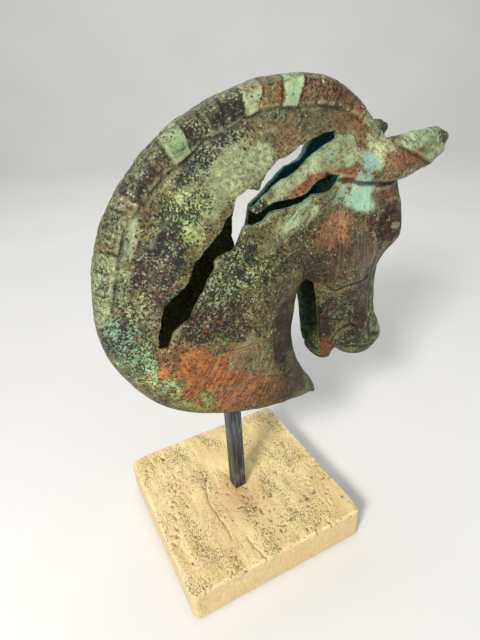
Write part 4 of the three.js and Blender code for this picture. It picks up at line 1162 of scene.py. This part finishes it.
def steel_material():
    s = Shader("blackened_steel")
    drawn = s.noise(s.turned(s.place, (1, 1, 0.05)), 1.2, 5.0, 0.7)
    smear = s.noise(s.turned(s.place, (1, 1, 0.25), shift=(9, 5, 2)), 5.0, 5.0, 0.6, 0.5)
    fine = s.noise(s.place, 0.7, 3.0, 0.6)
    s.colour = s.blend(s.fade(drawn, 0.35, 0.7), (50, 51, 54), (112, 120, 130))
    s.lay(s.fade(smear, 0.52, 0.66, 0.0, 0.6), (134, 148, 160))
    rust = s.fade(s.add(s.noise(s.place, 3.0, 6.0, 0.7), s.times(fine, 0.1)), 0.68, 0.74)
    s.lay(s.times(rust, 0.6), (84, 56, 38))
    s.set(Base_Color=s.colour, Roughness=s.fade(smear, 0.3, 0.7, 0.34, 0.52))
    s.set(Metallic=s.fade(rust, 0.0, 1.0, 0.85, 0.2))
    s.bump(s.add(s.times(drawn, 0.8), s.times(fine, 0.3)), 0.16)
    return s.material


def zinc_material():
    s = Shader("zinc_plated_steel")
    bloom = s.noise(s.place, 2.4, 5.0, 0.65, 0.4)
    fine = s.noise(s.place, 0.4, 3.0, 0.6)
    colour = s.blend(s.fade(bloom, 0.35, 0.65), (168, 172, 176), (204, 204, 196))
    s.set(Base_Color=colour, Roughness=s.fade(bloom, 0.3, 0.7, 0.28, 0.46), Metallic=1.0)
    s.bump(s.add(s.times(fine, 0.5), bloom), 0.08)
    return s.material


def felt_material():
    s = Shader("felt")
    lengths = [s.noise(s.turned(s.place, (1, 0.2, 1), turn), 0.8, 4.0, 0.7, 1.5) for turn in (35, -50)]
    pile = s.add(*lengths)
    colour = s.blend(s.fade(pile, 0.75, 1.25), (30, 29, 28), (68, 65, 62))
    s.set(Base_Color=colour, Roughness=0.95, Sheen_Weight=0.4)
    s.bump(pile, 0.3)
    return s.material


def studio_material():
    s = Shader("studio_paper")
    cloud = s.noise(s.place, 220.0, 3.0, 0.5)
    tooth = s.noise(s.place, 1.6, 3.0, 0.6)
    s.set(Base_Color=s.blend(cloud, (210, 209, 206), (220, 219, 216)), Roughness=0.85)
    s.bump(tooth, 0.05)
    return s.material


bronze = Bronze().material
travertine = travertine_material()
steel = steel_material()
zinc = zinc_material()
felt = felt_material()


def finished(piece, material, slot, *nodes):
    """Give a piece its material; its slot is not used. A new piece also rides on the body and replaces its
    nodes.
    """
    piece.data.materials.clear()
    piece.data.materials.append(material)
    if nodes:
        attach(piece, "root")
        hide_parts(*nodes)


for label_number, quads in bronze_quads.items():
    node_name, slot_name = PIECES[label_number]
    used, faces = np.unique(quads, return_inverse=True)
    faces = faces.reshape(quads.shape)
    mesh = new_mesh(f"cast_{node_name}", bronze_points[used], faces)
    store(mesh, "tone", bronze_values[used, 0:4])
    store(mesh, "veil", bronze_values[used, 4:8])
    store(mesh, "grain", np.c_[bronze_values[used, 8:11], bronze_cavity[used]])
    store(mesh, "flow", np.c_[bronze_flow[used], np.ones(len(used))])
    mesh.normals_split_custom_set_from_vertices(bronze_normals[used].tolist())
    finished(new_object(f"cast_{node_name}", mesh), bronze, slot_name, node_name)

# ---------------------------------------------------------------- the travertine base
SLAB_SIDE = 150.0
SLAB_BOTTOM, SLAB_TOP = 1.8, 31.5
BORE_RADIUS, COUNTERBORE_RADIUS, COUNTERBORE_TOP = 3.5, 10.0, 10.8
PITS = [
    # x, y, half length along the bedding, half width, depth
    (-48, 60.4, 2.6, 2.0, 2.2), (69, -57, 2.2, 1.6, 1.4), (-48, 0, 3.2, 1.2, 1.2), (-56, -4, 2.6, 1.1, 1.1),
    (8, -59, 3.0, 1.2, 1.2), (49, -12, 1.6, 1.3, 1.2), (26, -68, 3.2, 1.1, 1.3), (-64, -50, 2.0, 1.2, 1.2),
    (34, 40, 2.4, 1.2, 1.2), (-20, 52, 2.0, 1.0, 1.0), (58, 22, 2.6, 1.1, 1.1), (-34, -62, 2.2, 1.2, 1.1),
]
CRACKS = [
    [(-61, 75), (-60, 66), (-57.5, 54)],
    [(-24, 22), (-28, 4), (-31, -13), (-29, -30), (-30, -48)],
    [(-18, -50), (-17, -62), (-14, -75)],
]
CHIPPED_CORNER = (-75, 75)
CHIP_DEPTH, CHIP_REACH = 2.2, 8
EDGE_LOSS, CORNER_LOSS, FOOT_LOSS = 0.9, 2.4, 0.8  # how far the edges are worn away
FACE_LOSS = 0.25  # and the faces
EDGE_REACH = 3.0  # how far from an edge the stone looks worn


def pit_depth(x, y):
    """How deep the pits and cracks of the top are, in mm."""
    share = smoothstep(-0.25, 0.6, noise(x, y, 0 * x, 21, 61))
    depth = 0.9 * smoothstep(0.5, 0.75, noise(x, y * 0.5, 0 * x, 1.5, 63) * (0.5 + 0.6 * share))
    for mid_x, mid_y, half, across, deepest in PITS:
        ragged = 0.3 * noise(x, y, 0 * x, 1.6, 65)
        inside = 1 - np.hypot((y - mid_y) / half, (x - mid_x) / across) + ragged
        depth = np.maximum(depth, deepest * smoothstep(0.0, 0.7, inside))
    for line in CRACKS:
        bend = 0.8 * noise(x, y, 0 * x, 6, 67)
        away = np.abs(line_distance(smooth_loop(line, closed=False), x + bend, y))
        depth = np.maximum(depth, 0.8 * (1 - smoothstep(0.3, 1.1, away)))
    return depth


HALF_SLAB = SLAB_SIDE / 2
ROOM = 2  # empty space round a piece in its grid
side_end = HALF_SLAB + ROOM
low, high = (-side_end, -side_end, SLAB_BOTTOM - ROOM), (side_end, side_end, SLAB_TOP + ROOM)
stone_axes = grid_axes(low, high, STONE_STEP)
sx, sy, sz = np.meshgrid(*stone_axes, indexing="ij", sparse=True)
over_x, over_y = np.abs(sx) - HALF_SLAB, np.abs(sy) - HALF_SLAB
over_top, under = sz - SLAB_TOP, SLAB_BOTTOM - sz
wear = fractal(sx, sy, sz, 16, 3, 71)
fine_wear = fractal(sx, sy, sz, 4, 2, 75)
stone = smooth_max(smooth_max(over_x, over_y, 0.8), np.maximum(over_top, under) + 0 * over_x * over_y, 0.6)
to_corner = np.hypot(sx - CHIPPED_CORNER[0], sy - CHIPPED_CORNER[1])
chip = CHIP_DEPTH * np.exp(-((to_corner / CHIP_REACH) ** 2))
loss = EDGE_LOSS + 0.7 * wear + 0.3 * fine_wear + chip
for side in (over_x, over_y):
    stone = smooth_max(stone, (side + over_top) / math.sqrt(2) + loss, 0.7)
    stone = smooth_max(stone, (side + under) / math.sqrt(2) + FOOT_LOSS + 0.4 * wear, 0.7)
stone = smooth_max(stone, (over_x + over_y) / math.sqrt(2) + CORNER_LOSS + 0.7 * wear, 0.9)
stone = stone + FACE_LOSS + 0.12 * fine_wear
pits = pit_depth(*np.meshgrid(stone_axes[0], stone_axes[1], indexing="ij"))
stone = stone + pits[:, :, None] * smoothstep(SLAB_TOP - 5, SLAB_TOP - 2, sz)
from_axis = np.hypot(sx, sy)
stone = np.maximum(stone, BORE_RADIUS - from_axis)
stone = np.maximum(stone, np.minimum(COUNTERBORE_RADIUS - from_axis, COUNTERBORE_TOP - sz))
mesh, stone_points = mesh_of("travertine_base", stone, stone_axes)
to_side_x, to_side_y = (np.abs(stone_points[:, n]) - HALF_SLAB for n in (0, 1))
to_top = stone_points[:, 2] - SLAB_TOP
edges = [np.hypot(to_side_x, to_top), np.hypot(to_side_y, to_top), np.hypot(to_side_x, to_side_y)]
edge_share = np.exp(-(np.minimum.reduce(edges) / EDGE_REACH) ** 2)
pit_share = pit_depth(stone_points[:, 0], stone_points[:, 1]) * smoothstep(-6, -3, to_top)
store(mesh, "pit", np.c_[pit_share, pit_share, pit_share, edge_share])
finished(new_object("travertine_base", mesh), travertine, "travertine", "base_slab")

# ---------------------------------------------------------------- the square post
POST_SIDE, POST_BOTTOM, POST_TOP = 10.7, 31.8, 158.0
POST_TURN = math.radians(4.7)
TAP_RADIUS, TAP_DEPTH = 3.2, 22.0
POST_STEP = 0.7
POST_END = 7  # the grid's reach to each side
low, high = (-POST_END, -POST_END, POST_BOTTOM - ROOM), (POST_END, POST_END, POST_TOP + ROOM)
post_axes = grid_axes(low, high, POST_STEP)
px, py, pz = np.meshgrid(*post_axes, indexing="ij", sparse=True)
dent = 0.12 * fractal(px, py, pz, 7, 3, 81)
bar = smooth_max(np.abs(px) - POST_SIDE / 2, np.abs(py) - POST_SIDE / 2, 0.9)
bar = smooth_max(bar + dent, np.maximum(pz - POST_TOP, POST_BOTTOM - pz), 0.5) + 0.12
tap = TAP_RADIUS - np.hypot(px, py)
tap_ends = np.maximum(pz - POST_TOP + TAP_DEPTH, POST_BOTTOM + TAP_DEPTH - pz)
bar = np.maximum(bar, np.minimum(tap, tap_ends))
mesh, _ = mesh_of("square_post", bar, post_axes, POST_TURN)
finished(new_object("square_post", mesh), steel, "blackened_steel", "post")

for node_name, material, slot_name in (
    ("base_felt", felt, "felt"),
    ("base_washer", zinc, "zinc_plated_steel"),
    ("base_screw", zinc, "zinc_plated_steel"),
    ("post_stud", zinc, "zinc_plated_steel"),
    ("neck_bracket", steel, "blackened_steel"),
):
    finished(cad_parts[node_name], material, slot_name)

# ---------------------------------------------------------------- studio
CAMERA = {
    "place": (-0.11865, -0.26979, 0.36374),
    "right": (0.88523, -0.46203, -0.05386),
    "up": (0.27149, 0.41917, 0.86637),
    "forward": (0.37771, 0.78155, -0.49650),
    "lens": 27.0,
}
COVE_NEAR, COVE_FAR, COVE_HEIGHT, COVE_RADIUS, COVE_HALF = -1.6, 1.5, 2.2, 0.6, 2.6


def cove():
    """A sheet of paper that lies on the floor and curves up behind the object."""
    bends = [math.radians(a) for a in range(0, 91, 6)]
    profile = [(COVE_NEAR, 0.0)]
    profile += [(COVE_FAR + COVE_RADIUS * math.sin(a), COVE_RADIUS * (1 - math.cos(a))) for a in bends]
    profile.append((COVE_FAR + COVE_RADIUS, COVE_HEIGHT))
    ahead = np.array(CAMERA["forward"][:2]) / math.hypot(*CAMERA["forward"][:2])
    aside = np.array([ahead[1], -ahead[0]])
    points = [(*(d * ahead + s * COVE_HALF * aside), h) for d, h in profile for s in (-1, 1)]
    faces = np.array([(2 * n, 2 * n + 1, 2 * n + 3, 2 * n + 2) for n in range(len(profile) - 1)])
    mesh = new_mesh("studio_cove", np.array(points) / METRES, faces)
    mesh.materials.append(studio_material())
    mesh.shade_smooth()
    return new_object("studio_cove", mesh)


def area_light(name, place, target, size, power, tone=(1, 1, 1)):
    light = bpy.data.lights.new(name, "AREA")
    light.shape = "SQUARE"
    light.size = size
    light.energy = power
    light.color = tone
    lamp = new_object(name, light)
    lamp.location = place
    lamp.rotation_euler = (Vector(target) - Vector(place)).to_track_quat("-Z", "Y").to_euler()


cove()
area_light("key", (-0.9, -0.72, 1.05), (0.0, 0, 0.2), 0.28, 25, (1.0, 0.98, 0.95))
area_light("fill", (0.9, -0.7, 0.6), (0.02, 0, 0.2), 1.0, 1.2, (0.95, 0.98, 1.0))
area_light("back", (0.2, 1.1, 1.2), (0.02, 0, 0.22), 0.9, 3.5)
area_light("wall", (0.4, 0.5, 1.9), (0.9, 2.0, 0.5), 0.8, 9)

bpy.context.scene.view_settings.view_transform = "Standard"
world = bpy.data.worlds.new("studio")
bpy.context.scene.world = world
world.use_nodes = True
world.node_tree.nodes["Background"].inputs[0].default_value = (0.95, 0.97, 1.0, 1)
world.node_tree.nodes["Background"].inputs[1].default_value = 0.5

camera_data = bpy.data.cameras.new("photo_camera")
camera_data.lens = CAMERA["lens"]
camera_data.clip_start = 0.01
camera = new_object("photo_camera", camera_data)
columns = [Vector(CAMERA[name]) for name in ("right", "up", "forward")]
columns[2] = -columns[2]
camera.matrix_world = Matrix.Translation(CAMERA["place"]) @ Matrix(columns).transposed().to_4x4()
bpy.context.scene.camera = camera
